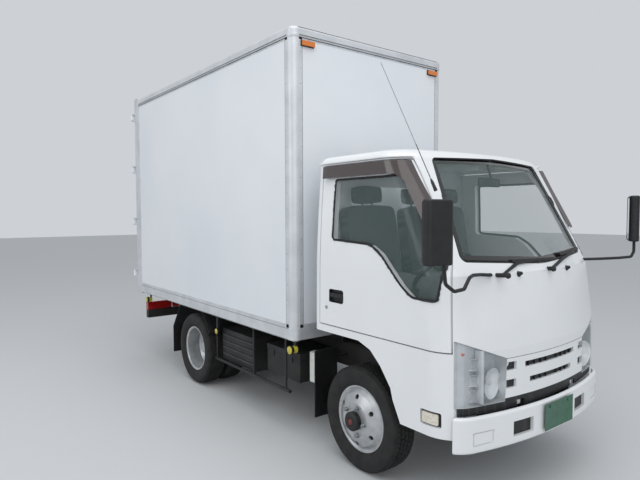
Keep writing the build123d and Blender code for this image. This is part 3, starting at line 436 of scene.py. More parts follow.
# %% Windscreen edge
seal_rubber = new_material("seal_rubber", "#121213", 0.45)
speckle(seal_rubber, ("#0f0f10", "#1a1a1b"), 30)
ceramic_black = new_material("ceramic_black", "#0c0d0e", 0.12, Coat_Weight=1, Coat_Roughness=0.03)
speckle(ceramic_black, ("#0a0b0c", "#101112"), 40)
screen_half = [(0, 1428), (680, 1466), (578, 2094), (0, 2112)]
screen = screen_half + [(-x, z) for x, z in screen_half[-2:0:-1]]
screen_nodes = {"cab_shell": 0, "front_lid": 0, "cab_windows": 0.0118}
bm = rim_of(flat_face(screen, rounding=0.04), 0.012, 0.008)
piece("windscreen_seal", lay(bm, screen_nodes, to_rear, -0.003, 0.007), seal_rubber, "cab")
bm = flat_face(screen, rounding=0.04)
bmesh.ops.inset_region(bm, faces=bm.faces[:], thickness=0.004, use_even_offset=True, use_boundary=True)
bmesh.ops.delete(bm, geom=[f for f in bm.faces if len(f.verts) == 4], context="FACES")
bm = rim_of(bm, 0, 0.036)
piece("windscreen_band", lay(bm, {"cab_windows": 0}, to_rear, 0.0002, 0.0005), ceramic_black, "cab")
print("windscreen edge laid")

# %% [markdown]
# Each door window runs in a wide black rubber channel, and its lower front dips with the door's
# line. The handle is a black dish with a lift paddle across it, and the key barrel sits below.

# %% Door seals and handles
window = (
    (235, 1560), (-150, 1541), (-240, 1490), (-424, 1306), (-510, 1246),
    (-695, 1240), (-712, 1440), (-470, 1855), (-370, 1985), (228, 1985),
)
handle = ((256, 1130), (256, 1222), (104, 1222), (104, 1130))
for side, door in ((-1, "driver_door"), (1, "passenger_door")):
    toward = Vector((-side, 0, 0))
    bm = rim_of(flat_face(side_points(window, side), toward, 0.03), 0.012, 0.016)
    bm = lay(bm, {door: 0, door + "_glass": 0.012}, toward, 0.0, 0.0045, 0.02)
    piece(door + "_window_seal", bm, seal_rubber, door)
    bm = rim_of(flat_face(side_points(handle, side), toward, 0.02), 0.006, 0.007)
    bm = lay(bm, {door: 0}, toward, 0.0005, 0.003, 0.02)
    piece(door + "_handle_rim", bm, moulded_black, door)
    bm = bmesh.new()
    dish_x, paddle_x = side * 0.8262, side * 0.84
    add_block(bm, (dish_x - 0.0007, y_at(108), 1.134), (dish_x + 0.0007, y_at(252), 1.218), 0)
    add_block(bm, (paddle_x - 0.0075, y_at(114), 1.163), (paddle_x + 0.0075, y_at(246), 1.196), 0.006, 3)
    piece(door + "_handle_paddle", bm, moulded_black, door)
    bm = add_turned(
        bmesh.new(), ((0, 0), (0, 13), (2, 13), (3, 11), (3, 7), (1.6, 6), (1.6, 0)),
        (side * 0.8472, y_at(285), 1.088), (side, 0, 0), 24,
    )
    piece(door + "_key_barrel", bm, galvanised_steel, door)
print("door seals and handles made")

# %% [markdown]
# A headlamp is a clear polycarbonate lens over an aluminised bowl. The CAD block is the lens; its
# sides and back, copied and drawn in a little, become the silver lining that is seen through it.
# A round reflector with a bulb shield sits in the inner half, and three curved shelves with amber
# bulbs above and below fill the outer half.

# %% Headlamps
aluminised = new_material("aluminised_plastic", "#dde0e2", 0.22, Metallic=0.6)
speckle(aluminised, ("#d4d8db", "#eef0f1"), 9)
satin_bezel = new_material("satin_bezel", "#b4b9bc", 0.35, Metallic=0.5)
speckle(satin_bezel, ("#c4c9cc", "#d8dcde"), 9)
bulb_amber = new_material("bulb_amber", "#c4502a", 0.15, Coat_Weight=0.8)
speckle(bulb_amber, ("#b8431f", "#cf6234"), 60)
bm = bmesh.new()
bm.from_mesh(frame["nodes"]["headlamps"].data)
bmesh.ops.remove_doubles(bm, verts=bm.verts[:], dist=0.0001)
bm.normal_update()
shown = []
for face in bm.faces:
    outwards = face.normal.x * face.calc_center_median().x > 0
    if face.normal.y < -0.25 or abs(face.normal.x) > 0.7 and outwards:
        shown.append(face)
bmesh.ops.delete(bm, geom=shown, context="FACES")
for vert in bm.verts:
    vert.co -= vert.normal * 0.002
mesh = bpy.data.meshes.new("headlamp_lining")
bm.to_mesh(mesh)
bm.free()
mesh.materials.append(satin_bezel)
lining = bpy.data.objects.new("headlamp_lining", mesh)
bpy.context.scene.collection.objects.link(lining)
thicken(lining, 0.001, 1)
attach(lining, "cab")
reflectors = bmesh.new()
bezels = bmesh.new()
bulbs = bmesh.new()
bowl = ((30, 6), (28, 24), (20, 48), (8, 70), (-14, 88), (-15, 91), (8, 76), (31, 30), (34, 6))
bulb_shield = ((-8, 0), (-8, 11), (2, 14), (20, 14), (28, 8))
shelf_heights = ((0.672, 0.745), (0.762, 0.835), (0.852, 0.925))
shelf_steps = 8
for side in (-1, 1):
    middle = Vector((side * 0.533, y_at(-838), 0.765))
    for profile, steps in ((bowl, 36), (bulb_shield, 24)):
        add_turned(reflectors, profile, middle, (side * 0.12, 1, 0), steps)
    face = Vector((side * 0.72, y_at(-800), 0))
    across = Vector((side * 0.070, 0.055, 0))
    for low, high in shelf_heights:
        centre = face + up_axis * (low + high) / 2 + Vector((0, 0.012, 0))
        radius = (high - low) / 2
        verts = []
        for step in range(shelf_steps + 1):
            angle = radians(-70 + 140 * step / shelf_steps)
            inwards = Vector((-side * 0.6, 0.8, 0)) * (radius * cos(angle) * 0.75)
            spot = centre + inwards + up_axis * radius * sin(angle)
            verts.append(reflectors.verts.new(spot - across))
        edges = [reflectors.edges.new(pair) for pair in zip(verts, verts[1:])]
        swept = bmesh.ops.extrude_edge_only(reflectors, edges=edges)["geom"]
        bmesh.ops.translate(reflectors, vec=across * 2, verts=verts_in(swept))
    for neck, belly, spot in ((8, 11, (side * 0.012, 0.01, 0.955)), (6, 8, (side * -0.02, 0.012, 0.71))):
        profile = ((-16, 0), (-14, neck), (-6, belly), (14, belly), (20, 6))
        add_turned(bulbs, profile, face + Vector(spot), (0, 1, 0.1), 20)
    divider_x = side * 0.628
    add_block(bezels, (divider_x - 0.006, y_at(-862), 0.665), (divider_x + 0.006, y_at(-805), 0.97), 0.002)
thicken(piece("headlamp_reflectors", reflectors, aluminised, "cab"), 0.001)
piece("headlamp_dividers", bezels, satin_bezel, "cab")
piece("headlamp_bulbs", bulbs, bulb_amber, "cab")
print("headlamps made")

# %% [markdown]
# Behind the grille's slots and in the bumper's openings there is black moulded mesh, laid as a sheet.
# Its holes are the cells of a Voronoi pattern, about 14 mm apart, which also gives the bump. The
# cells' middles are painted near black: painted shade of the dark space behind the mesh.

# %% Grille and bumper meshes
black_mesh_hole_shade = new_material("black_mesh_hole_shade", "#141415", 0.5)
tree, surface = tree_and_surface(black_mesh_hole_shade)
place = add_node(tree, "ShaderNodeTexCoord")
cells = add_node(
    tree, "ShaderNodeTexVoronoi", {"feature": "DISTANCE_TO_EDGE", "Scale": 70, "Randomness": 0.15},
    {"Vector": place.outputs["Object"]},
)
# painted shade: the cell middles, the holes, go near black for the dark space behind the mesh
ramp = add_node(tree, "ShaderNodeValToRGB", links={"Fac": cells.outputs["Distance"]})
ramp.color_ramp.elements[0].position = 0.08
ramp.color_ramp.elements[1].position = 0.16
ramp.color_ramp.elements[0].color = linear("#303134")
ramp.color_ramp.elements[1].color = linear("#060607")
tree.links.new(ramp.outputs["Color"], surface.inputs["Base Color"])
bump = add_node(
    tree, "ShaderNodeBump", {"Strength": 0.6, "Distance": 0.003}, {"Height": cells.outputs["Distance"]}
)
tree.links.new(bump.outputs["Normal"], surface.inputs["Normal"])

grille_slots = ((285, 832, 866), (240, 735, 768))
nose_y = y_at(-926)
bumper_y = y_at(-957)
cab_bow = 5.36
bumper_bow = 5.3
backs = bmesh.new()


def back_opening(x, z, onto):
    """Lay a sheet behind an opening, over two ranges in millimetres."""
    flat = flat_face([(x[0], z[0]), (x[1], z[0]), (x[1], z[1]), (x[0], z[1])])
    mesh = bpy.data.meshes.new("opening")
    lay(flat, onto, to_rear, -0.0165, 0.0005, 0.06).to_mesh(mesh)
    backs.from_mesh(mesh)


for half, low, high in grille_slots:
    behind = {"front_lid": 0, "grille_panel": 0, "cab_shell": 0.02}
    back_opening((-half - 3, half + 3), (low - 3, high + 3), behind)
for low, high in ((831, 880), (727, 776)):
    for side in (-1, 1):
        back_opening((side * 362, side * 445), (low, high), {"grille_panel": 0, "cab_shell": 0.02})
piece("grille_backs", backs, black_mesh_hole_shade, "cab")
ribs = bmesh.new()
for side in (-1, 1):
    for x in (60, 120, 180, 240):
        for half, low, high in grille_slots:
            if x < half - 20:
                y = nose_y + (x / 1000) ** 2 / cab_bow
                add_block(
                    ribs, (side * x / 1000 - 0.003, y + 0.007, low / 1000 - 0.002),
                    (side * x / 1000 + 0.003, y + 0.017, high / 1000 + 0.002), 0.0008, 1,
                )
piece("grille_ribs", ribs, moulded_black, "cab")
for side, hand in ((-1, "right"), (1, "left")):
    corners = [(side * x, z) for x, z in ((238, 441), (424, 441), (424, 541), (238, 541))]
    flat = flat_face(corners, rounding=0.012)
    for vert in flat.verts:
        vert.co.y = bumper_y + 0.021 + vert.co.x ** 2 / bumper_bow
    bmesh.ops.triangulate(flat, faces=flat.faces[:])
    made = bmesh.ops.extrude_face_region(flat, geom=flat.faces[:])["geom"]
    bmesh.ops.translate(flat, vec=(0, 0.001, 0), verts=verts_in(made))
    piece(f"bumper_mesh_{hand}", flat, black_mesh_hole_shade, "chassis")
# the band under the cab wears the same mesh, its holes painted near black as painted shade
frame["nodes"]["lower_grille"].data.materials[0] = black_mesh_hole_shade
print("meshes laid")

# %% [markdown]
# One object can wear several materials: each face says which of them it takes. The black parts of
# the bumper and the colours of the small lamps are given this way, by where each face lies.

# %% Faces with another finish
red_lens = new_material("red_lens", "#a3161a", 0.15, Coat_Weight=0.8)
speckle(red_lens, ("#97120f", "#b01f1f"), 50)
yellow_lens = new_material("yellow_lens", "#c3b52a", 0.2, Coat_Weight=0.8)
speckle(yellow_lens, ("#b5a71f", "#d2c53c"), 50)


def finish_faces(node, material, chosen):
    """Give the faces of a CAD node that a test picks by their middle another material."""
    mesh = frame["nodes"][node].data
    mesh.materials.append(material)
    picked = [p for p in mesh.polygons if chosen(p.center)]
    for face in picked:
        face.material_index = len(mesh.materials) - 1
    print(node, material.name, len(picked), "faces")


finish_faces(
    "front_bumper", chassis_black,
    lambda c: abs(c.x) < 0.36 and c.y > y_at(-934) and 0.49 < c.z < 0.565,
)
finish_faces("body_lamps", yellow_lens, lambda c: abs(c.x) > 0.79 and c.z < 0.73)
finish_faces("body_lamps", chassis_black, lambda c: 0.79 < abs(c.x) < 0.815 and c.z > 0.722)
finish_faces("body_lamps", red_lens, lambda c: c.y > y_at(3900) and abs(c.x) < 0.79)

# %% [markdown]
# The number plate is a thin pressed sheet with a rolled edge, left blank. Fog-lamp blanks are
# painted covers in the bumper's recesses, and the side lamp is a clear lens in a black tray.

# %% Plate, blanks and side lamps
plate_green = new_material("plate_green", "#1f5a41", 0.4, Coat_Weight=0.3)
speckle(plate_green, ("#1b543c", "#256247"), 25)
plate_x = 0.01
bolt_x = 0.105
bm = bmesh.new()
bmesh.ops.create_cube(bm, size=1, matrix=Matrix.Diagonal((0.33, 0.0016, 0.165, 1)))
front = [f for f in bm.faces if f.normal.y < -0.9]
bmesh.ops.inset_region(bm, faces=front, thickness=0.006, depth=0, use_even_offset=True)
bmesh.ops.inset_region(bm, faces=front, thickness=0.003, depth=-0.0005, use_even_offset=True)
bmesh.ops.translate(bm, vec=(plate_x, bumper_y - 0.012, 0.505), verts=bm.verts[:])
for side in (-1, 1):
    add_turned(
        bm, ((0, 0), (0, 9), (-3, 9), (-5, 6), (-5, 0)),
        (plate_x + side * bolt_x, bumper_y - 0.0125, 0.565), (0, 1, 0), 16,
    )
piece("number_plate", bm, plate_green, "chassis")
bm = bmesh.new()
for side in (-1, 1):
    add_block(
        bm, (side * bolt_x - 0.02, bumper_y - 0.0112, 0.43),
        (side * bolt_x + 0.02, bumper_y + 0.004, 0.58), 0.002,
    )
piece("plate_bracket", bm, chassis_black, "chassis")

fog = ((581, 452), (704, 448), (704, 513), (575, 513))
side_lamp = ((-722, 534), (-722, 614), (-590, 614), (-590, 534))
lens = ((-704, 543), (-704, 606), (-598, 606), (-598, 543))
for side, hand in ((-1, "right"), (1, "left")):
    toward = Vector((-side, 0, 0))
    flat = flat_face([(side * x, z) for x, z in fog], rounding=0.01)
    bm = lay(flat, {"front_bumper": 0}, to_rear, 0.0008, 0.0055, 0.03)
    piece(f"fog_blank_{hand}", bm, cab_enamel, "chassis")
    flat = flat_face(side_points(side_lamp, side), toward, 0.01)
    bm = lay(flat, {"cab_shell": 0}, toward, 0.0005, 0.003, 0.03)
    piece(f"side_lamp_tray_{hand}", bm, moulded_black, "cab")
    flat = rim_of(flat_face(side_points(side_lamp, side), toward, 0.012), 0.012, 0.002)
    bm = lay(flat, {"cab_shell": 0}, toward, 0.0003, 0.003, 0.02)
    piece(f"side_lamp_surround_{hand}", bm, moulded_black, "cab")
    flat = flat_face(side_points(lens, side), toward, 0.008)
    bm = lay(flat, {"cab_shell": 0}, toward, 0.0035, 0.0105, 0.02)
    piece(f"side_lamp_lens_{hand}", bm, side_lens, "cab")
print("plate, blanks and side lamps made")

# %% [markdown]
# Small black fittings stand below the windscreen: the washer nozzles and the caps over the wiper
# pivots. The aerial stands beside the right pillar without touching it, and its thin rod leans
# back over the roof.

# %% Washers and aerial
bm = bmesh.new()
nozzle = ((-6, 0), (-6, 17), (2, 18), (10, 13), (17, 11), (24, 9), (27, 0))
for x in (-0.28, 0.28):
    add_turned(bm, nozzle, (x, y_at(-869) + x * x / cab_bow, 1.382), (0, -1, 0.35), 20)
for x, z in ((-0.463, 1.388), (0.032, 1.395)):
    add_turned(bm, ((0, 0), (0, 17), (8, 18), (17, 14), (20, 0)), (x, y_at(-895), z), (0, -1, 0.15), 20)
piece("washers_and_caps", bm, moulded_black, "cab")
aerial_foot = Vector((-0.745, y_at(-600), 1.89))
aerial_tip = Vector((-0.79, y_at(-196), 2.69))
bm = bmesh.new()
foot_run = (aerial_tip - aerial_foot).normalized()
add_turned(bm, ((-14, 0), (-14, 11), (40, 9), (62, 5), (64, 0)), aerial_foot, foot_run, 16)
add_rod(bm, aerial_foot + foot_run * 0.06, aerial_foot + foot_run * 0.3, 0.0025, 8)
add_rod(bm, aerial_foot + foot_run * 0.3, aerial_tip, 0.0014, 8)
piece("aerial", bm, moulded_black, "cab")
print("washers and aerial made")

# %% [markdown]
# Each mirror's glass looks backwards: a silvered plate in the rear face of the housing, with a
# shallow rim round it.

# %% Mirror glasses
mirror_silver = new_material("mirror_silver", "#c9d0d4", 0.03, Metallic=1.0)
speckle(mirror_silver, ("#c4cbd0", "#ced5d9"), 2)
mirror_sets = (((-1.058, y_at(-885), 1.650), -18, "right"), ((1.072, y_at(-942), 1.702), 28, "left"))
glass_half = Vector((0.066, 0.0012, 0.150))
rim_strips = (
    ((-0.071, -0.156), (0.071, -0.150)), ((-0.071, 0.150), (0.071, 0.156)),
    ((-0.071, -0.156), (-0.066, 0.156)), ((0.066, -0.156), (0.071, 0.156)),
)
for middle, turn, hand in mirror_sets:
    turning = Matrix.Rotation(radians(turn), 3, "Z")
    face = Vector(middle) + turning @ Vector((0, 0.0335, 0))
    bm = bmesh.new()
    add_block(bm, face - glass_half, face + glass_half, 0.0008, 1, turning)
    piece(f"mirror_glass_{hand}", bm, mirror_silver, "cab")
    bm = bmesh.new()
    for low, high in rim_strips:
        offset = Vector(((low[0] + high[0]) / 2, 0, (low[1] + high[1]) / 2))
        strip_half = Vector(((high[0] - low[0]) / 2, 0.003, (high[1] - low[1]) / 2))
        spot = face + turning @ offset
        add_block(bm, spot - strip_half, spot + strip_half, 0.001, 1, turning)
    piece(f"mirror_rim_{hand}", bm, moulded_black, "cab")
print("mirror glasses made")

# %% [markdown]
# A tyre's tread is cut by ring grooves and cross grooves. The carcass is a spun profile with its
# ring grooves sunk in; blocks set round it leave the cross grooves between them. The new tyre
# takes the place of the CAD one and has the same outer size.

# %% Tyres
tyre_radius = 0.357
wheel_width = 0.155
disc_offset = 0.116
tread_pitches = 64
carcass = (
    (-70, 214), (-70, 223), (-76, 228), (-90, 248), (-97, 270), (-100, 292), (-98, 318), (-93, 336),
    (-80, 345), (-62, 349), (62, 349), (80, 345), (93, 336), (98, 318), (100, 292), (97, 270),
    (90, 248), (76, 228), (70, 223), (70, 214), (-70, 214),
)
ribs_across = ((-74, -52), (-46, -20), (-14, 14), (20, 46), (52, 74))


def add_tyre(bm, x, axle_y):
    """Add a tyre with its tread blocks about a wheel's middle."""
    middle = Vector((x, axle_y, tyre_radius))
    add_turned(bm, carcass, middle, (1, 0, 0), 72)
    for rib, (low, high) in enumerate(ribs_across):
        crown = 357 if rib in (1, 2, 3) else 354.5
        for pitch in range(tread_pitches):
            angle = 2 * pi * (pitch + 0.5 * (rib % 2)) / tread_pitches
            half = crown * pi / tread_pitches - 2.2
            verts = bmesh.ops.create_cube(
                bm, size=1, matrix=Matrix.Diagonal(((high - low) / 1000, half * 2 / 1000, 0.012, 1))
            )["verts"]
            place = (
                Matrix.Translation(middle) @ Matrix.Rotation(angle, 4, "X")
                @ Matrix.Translation(((low + high) / 2000, 0, (crown - 6) / 1000 - 0.00004 * half))
            )
            bmesh.ops.transform(bm, matrix=place, verts=verts)


front_x = 0.785 - wheel_width / 2
outer_x = 0.845 - wheel_width / 2
inner_x = outer_x - 2 * disc_offset
rear_axle_y = front_axle_y + 2.475
for side, hand in ((-1, "right"), (1, "left")):
    bm = bmesh.new()
    add_tyre(bm, side * front_x, front_axle_y)
    made = piece(f"front_{hand}_treaded_tyre", bm, tyre_rubber, f"front_{hand}_wheel")
    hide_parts(f"front_{hand}_tyre")
    bm = bmesh.new()
    for x in (outer_x, inner_x):
        add_tyre(bm, side * x, rear_axle_y)
    made = piece(f"rear_{hand}_treaded_tyres", bm, tyre_rubber, f"rear_{hand}_wheels")
    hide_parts(f"rear_{hand}_tyres")
print("tyres made")

# %% [markdown]
# A pressed-steel wheel is held by hexagonal nuts on studs. The front hub is a black cap with a
# dull red centre; the rear wheels are dished, with the hub and nuts deep inside.

# %% Wheel nuts and hubs
hub_red = new_material("hub_red", "#6d2a25", 0.5)
speckle(hub_red, ("#5f2420", "#7b342e"), 60)
nut_count = 5
nut_circle = 0.097
disc_wall = 0.008
nut_set = (
    (((-2, 0), (-2, 17), (2, 17), (4, 14)), 18),
    (((2, 14), (20, 14), (23, 11), (23, 0)), 6),
    (((22, 0), (22, 7), (31, 7), (33, 5), (33, 0)), 10),
)
wheel_ends = (
    ("front", front_axle_y, front_x + disc_offset + disc_wall, 41),
    ("rear", rear_axle_y, outer_x - disc_offset + disc_wall, 93),
)
for side, hand in ((-1, "right"), (1, "left")):
    for end, axle_y, disc_x, reach in wheel_ends:
        body = f"{end}_{hand}_wheel" + ("s" if end == "rear" else "")
        middle = Vector((side * disc_x, axle_y, tyre_radius))
        outwards = (side, 0, 0)
        nuts = bmesh.new()
        for turn in range(nut_count):
            angle = 2 * pi * (turn + 0.5) / nut_count
            y, z = axle_y + nut_circle * cos(angle), tyre_radius + nut_circle * sin(angle)
            for profile, steps in nut_set:
                add_turned(nuts, profile, Vector((side * disc_x, y, z)), outwards, steps)
        piece(f"{end}_{hand}_nuts", nuts, galvanised_steel, body)
        cap = ((-1, 63), (reach - 7, 63.5), (reach + 1, 56), (reach + 3, 50), (reach + 3, 24))
        cap_dish = ((reach + 3, 50), (reach + 3, 24), (reach - 1, 22), (reach - 1, 0))
        hub = bmesh.new()
        for profile in (cap, cap_dish):
            add_turned(hub, profile, middle, outwards, 40)
        piece(f"{end}_{hand}_hub_cap", hub, moulded_black, body)
        button = ((reach + 1, 0), (reach + 1, 21), (reach + 4, 20), (reach + 6, 15), (reach + 6, 0))
        boss = add_turned(bmesh.new(), button, middle, outwards, 32)
        piece(f"{end}_{hand}_hub_centre", boss, hub_red, body)
print("wheel nuts and hubs made")

# %% [markdown]
# The insulated box is a sandwich of foam and skins held by riveted aluminium sections: rails along
# the bottom and the roof, posts at the corners, each with a flange over the panel. The grooves in
# the rails and the joints beside the flanges are thin dark strips of painted shade, two of them
# along the roof rail. Cast caps close the front corners, above and below.

# %% Box edges
# painted shade: thin dark strips stand for the shade in the rails' grooves and beside the flange edges
groove_shade_paint = new_material("painted_groove_shade", "#3a3d40", 0.6)
speckle(groove_shade_paint, ("#34373a", "#43464a"), 20)
box_half = 0.859
box_front = y_at(680)
box_rear = y_at(3990)
flange_half = 0.0016
flange_heights = ((0.858, 0.888), (3.058, 3.088))
roof_grooves = (3.074, 3.0925)
rivet_heights = (0.873, 3.066)
rivet_step = 0.118
rivet_dome = ((0, 4.2), (0.9, 3.6), (1.7, 1.8), (1.9, 0))
flanges = bmesh.new()
grooves = bmesh.new()
rivets = bmesh.new()


def add_rivets(start, step, count, outwards):
    """Add a row of low rivet heads."""
    for turn in range(count):
        add_turned(rivets, rivet_dome, Vector(start) + Vector(step) * turn, outwards, 6)


for side in (-1, 1):
    wall = side * (box_half - 0.005)
    skin = side * (box_half - 0.001)
    inner, outer = wall - flange_half, wall + flange_half
    for low, high in flange_heights:
        add_block(flanges, (inner, box_front + 0.065, low), (outer, box_rear, high), 0.0008, 1)
    add_block(flanges, (inner, box_front + 0.06, 0.86), (outer, box_front + 0.098, 3.08), 0.0008, 1)
    for heights, deep, tall in ((roof_grooves, 0.0024, 0.0018), ((0.7715, 0.8545), 0.0018, 0.0012)):
        for z in heights:
            add_block(
                grooves, (skin - deep, box_front + 0.07, z - tall), (skin + deep, box_rear, z + tall), 0
            )
    add_block(
        grooves, (wall - 0.0008, box_front + 0.0985, 0.888), (wall + 0.0008, box_front + 0.1015, 3.058), 0
    )
    rivet_x = wall + side * 0.0014
    for z in rivet_heights:
        add_rivets((rivet_x, box_front + 0.14, z), (0, rivet_step, 0), 27, (side, 0, 0))
    add_rivets((rivet_x, box_front + 0.082, 0.96), (0, 0, rivet_step), 18, (side, 0, 0))
    edge = side * (box_half - 0.08)
    joint = edge - side * 0.0195
    add_block(
        flanges, (edge - 0.018, box_front + 0.0034, 0.86), (edge + 0.018, box_front + 0.0066, 3.08), 0.0008, 1
    )
    add_block(
        grooves, (joint - 0.0015, box_front + 0.0042, 0.888), (joint + 0.0015, box_front + 0.0058, 3.058), 0
    )
    add_rivets((edge - side * 0.004, box_front + 0.0036, 0.96), (0, 0, rivet_step), 18, (0, -1, 0))
for low, high in flange_heights:
    add_block(flanges, (-0.79, box_front + 0.0034, low), (0.79, box_front + 0.0066, high), 0.0008, 1)
for z in roof_grooves:
    add_block(grooves, (-0.79, box_front - 0.0014, z - 0.0018), (0.79, box_front + 0.0034, z + 0.0018), 0)
for z in rivet_heights:
    add_rivets((-0.70, box_front + 0.0036, z), (0.1, 0, 0), 15, (0, -1, 0))
piece("panel_flanges", flanges, anodised_rail, "chassis")
piece("rail_groove_shade", grooves, groove_shade_paint, "chassis")
piece("panel_rivets", rivets, galvanised_steel, "chassis")
cap_radius = 0.0672
caps = bmesh.new()
for side in (-1, 1):
    for z, tall in ((3.094, 0.055), (0.815, 0.072)):
        spot = (side * (box_half - 0.0655), box_front + 0.0655, z)
        bmesh.ops.create_uvsphere(
            caps, u_segments=20, v_segments=12, radius=1,
            matrix=Matrix.Translation(spot) @ Matrix.Diagonal((cap_radius, cap_radius, tall, 1)),
        )
piece("corner_caps", caps, anodised_rail, "chassis")
print("box edges made")

# %% [markdown]
# Small orange clearance lamps stand in black trays under the roof rail at the front, and each
# yellow round lamp has a black ring. Another one stands ahead of the rear mudguard.

# %% Small lamps
trays = bmesh.new()
rings = bmesh.new()
domes = bmesh.new()
for side in (-1, 1):
    outwards = (side, 0, 0)
    add_block(
        trays, (side * 0.649, box_front - 0.006, 3.010), (side * 0.775, box_front + 0.006, 3.055), 0.003
    )
    for y in (730, 3830):
        spot = (side * 0.863, y_at(y), 0.690)
        add_turned(rings, ((-26, 31), (-26, 34), (-6, 34), (-4, 31), (-26, 31)), spot, outwards, 28)
        add_turned(domes, ((-3, 30), (1, 24), (3, 14), (3.6, 0)), spot, outwards, 24)
    spot = Vector((side * 0.845, y_at(2010), 0.612))
    add_turned(rings, ((-30, 0), (-30, 31), (-6, 31), (-4, 28), (-8, 28)), spot, outwards, 28)
    add_turned(domes, ((-8, 28), (-2, 24), (2, 14), (3, 0)), spot, outwards, 24)
    stay = spot - Vector((side * 0.028, 0, 0))
    add_block(trays, stay - Vector((0.012, 0.012, 0)), stay + Vector((0.012, 0.012, 0.16)), 0.002)
piece("lamp_trays", trays, moulded_black, "chassis")
piece("side_lamp_rings", rings, moulded_black, "chassis")
piece("side_lamp_domes", domes, yellow_lens, "chassis")
print("small lamps made")

# %% [markdown]
# The rear doors shut on black rubber gaskets, and their lock bars run in bolted guides. A red
# reflector each side, the tail lamps' lenses and a blank plate complete the rear.

# %% Rear doors
doors_y = y_at(4130)
opening_x = box_half - 0.060
opening_top = 3.170 - 0.090
gasket_width = 0.022
hinge_heights = (1.0, 1.65, 2.3, 2.95)
strap_bolt_places = (0.56, 0.62, 0.70, 0.76)
guide_heights = (1.0, 1.5, 2.0, 2.5, 2.98)
lock_bar_places = (0.110, 0.480)
strap_bolt = ((0, 6), (3, 6), (4, 4), (4, 0))
guide_bolt = ((0, 5), (3, 5), (4, 3), (4, 0))
for side, hand in ((-1, "right"), (1, "left")):
    body = f"rear_door_{hand}"
    x0, x1 = sorted((side * 0.006, side * (opening_x - 0.010)))
    z0, z1 = 0.915, opening_top - 0.010
    seal = bmesh.new()
    for low, high in (
        ((x0, z0), (x1, z0 + gasket_width)), ((x0, z1 - gasket_width), (x1, z1)),
        ((x0, z0), (x0 + gasket_width, z1)), ((x1 - gasket_width, z0), (x1, z1)),
    ):
        add_block(seal, (low[0], doors_y, low[1]), (high[0], doors_y + 0.004, high[1]), 0.0015, 1)
    piece(f"{body}_gasket", seal, seal_rubber, body)
    bolts = bmesh.new()
    for z in hinge_heights:
        for x in strap_bolt_places:
            for dz in (-0.018, 0.018):
                add_turned(bolts, strap_bolt, (side * x, doors_y + 0.0238, z + dz), (0, 1, 0), 6)
    for x in lock_bar_places:
        for z in guide_heights:
            for dx in (-0.023, 0.023):
                add_turned(bolts, guide_bolt, (side * (x + dx), doors_y + 0.0338, z), (0, 1, 0), 6)
    piece(f"{body}_bolts", bolts, galvanised_steel, body)
    grip = bmesh.new()
    add_block(
        grip, (side * 0.30, doors_y + 0.010, 1.286), (side * 0.412, doors_y + 0.0262, 1.324), 0.005, 3
    )
    piece(f"{body}_grip", grip, moulded_black, body)
lamp_front, lamp_back = doors_y - 0.052, doors_y - 0.047
reflectors = bmesh.new()
reversing = bmesh.new()
indicators = bmesh.new()
lines = bmesh.new()
for side in (-1, 1):
    add_block(
        reflectors, (side * 0.36, y_at(4000), 0.540), (side * 0.45, y_at(4000) + 0.075, 0.60), 0.004
    )
    add_block(reversing, (side * 0.473, lamp_front, 0.534), (side * 0.552, lamp_back, 0.626), 0.003)
    add_block(indicators, (side * 0.558, lamp_front, 0.534), (side * 0.666, lamp_back, 0.626), 0.003)
    for x in (side * 0.556, side * 0.668):
        add_block(
            lines, (x - 0.0025, doors_y - 0.053, 0.531), (x + 0.0025, doors_y - 0.0455, 0.629), 0.001, 1
        )
piece("rear_reflectors", reflectors, red_lens, "chassis")
piece("reverse_lenses", reversing, side_lens, "chassis")
piece("tail_lamp_frames", lines, moulded_black, "chassis")
piece("rear_indicators", indicators, amber_lens, "chassis")
bm = bmesh.new()
add_block(bm, (-0.165, doors_y - 0.054, 0.62), (0.165, doors_y - 0.052, 0.75), 0.0008, 1)
piece("rear_plate", bm, plate_green, "chassis")
bm = bmesh.new()
for side in (-1, 1):
    add_block(bm, (side * 0.150, doors_y - 0.060, 0.52), (side * 0.172, doors_y - 0.0535, 0.752), 0.001, 1)
piece("rear_plate_holder", bm, chassis_black, "chassis")
print("rear doors finished")

# %% [markdown]
# Under the box: straps hold the fuel tank, the battery box has a lid with catches, and thin pale
# strips along the edges of the ribbed unit's ribs are painted highlight. Black liners edge the front
# wheel arches, and a flap that rides on the chassis hangs behind each front wheel.

# %% Under the truck
straps = bmesh.new()
strap_half = 0.022
for middle in (y_at(960), y_at(1610)):
    front, back = middle - strap_half, middle + strap_half
    for x, z in (
        ((0.398, 0.7725), (0.3275, 0.3345)), ((0.768, 0.7735), (0.375, 0.605)),
        ((0.398, 0.72), (0.6475, 0.6525)),
    ):
        add_block(straps, (x[0], front, z[0]), (x[1], back, z[1]), 0.002, 1)
piece("tank_straps", straps, galvanised_steel, "chassis")
filler = ((-20, 0), (-20, 38), (16, 38), (20, 46), (38, 46), (42, 40), (42, 0))
bm = add_turned(bmesh.new(), filler, (0.764, y_at(1100), 0.56), (1, 0, 0.3), 24)
piece("tank_filler", bm, moulded_black, "chassis")
# painted highlight: pale strips along the edges of the ribbed unit's ribs
bm = bmesh.new()
for z in (0.400, 0.460, 0.520, 0.580):
    add_block(bm, (-0.7822, y_at(1425), z + 0.003), (-0.7795, y_at(1985), z + 0.0072), 0.0005, 1)
piece("unit_rib_highlights", bm, moulded_grey, "chassis")
bm = bmesh.new()
add_block(bm, (-0.7445, y_at(755), 0.585), (-0.428, y_at(1245), 0.634), 0.006, 2)
for y in (860, 1130):
    add_block(bm, (-0.7475, y_at(y), 0.545), (-0.740, y_at(y) + 0.028, 0.612), 0.002, 1)
piece("battery_lid", bm, moulded_black, "chassis")
arch = ((435, 912), (-48, 912), (-163, 872), (-255, 789), (-344, 671), (-363, 600), (-425, 472))
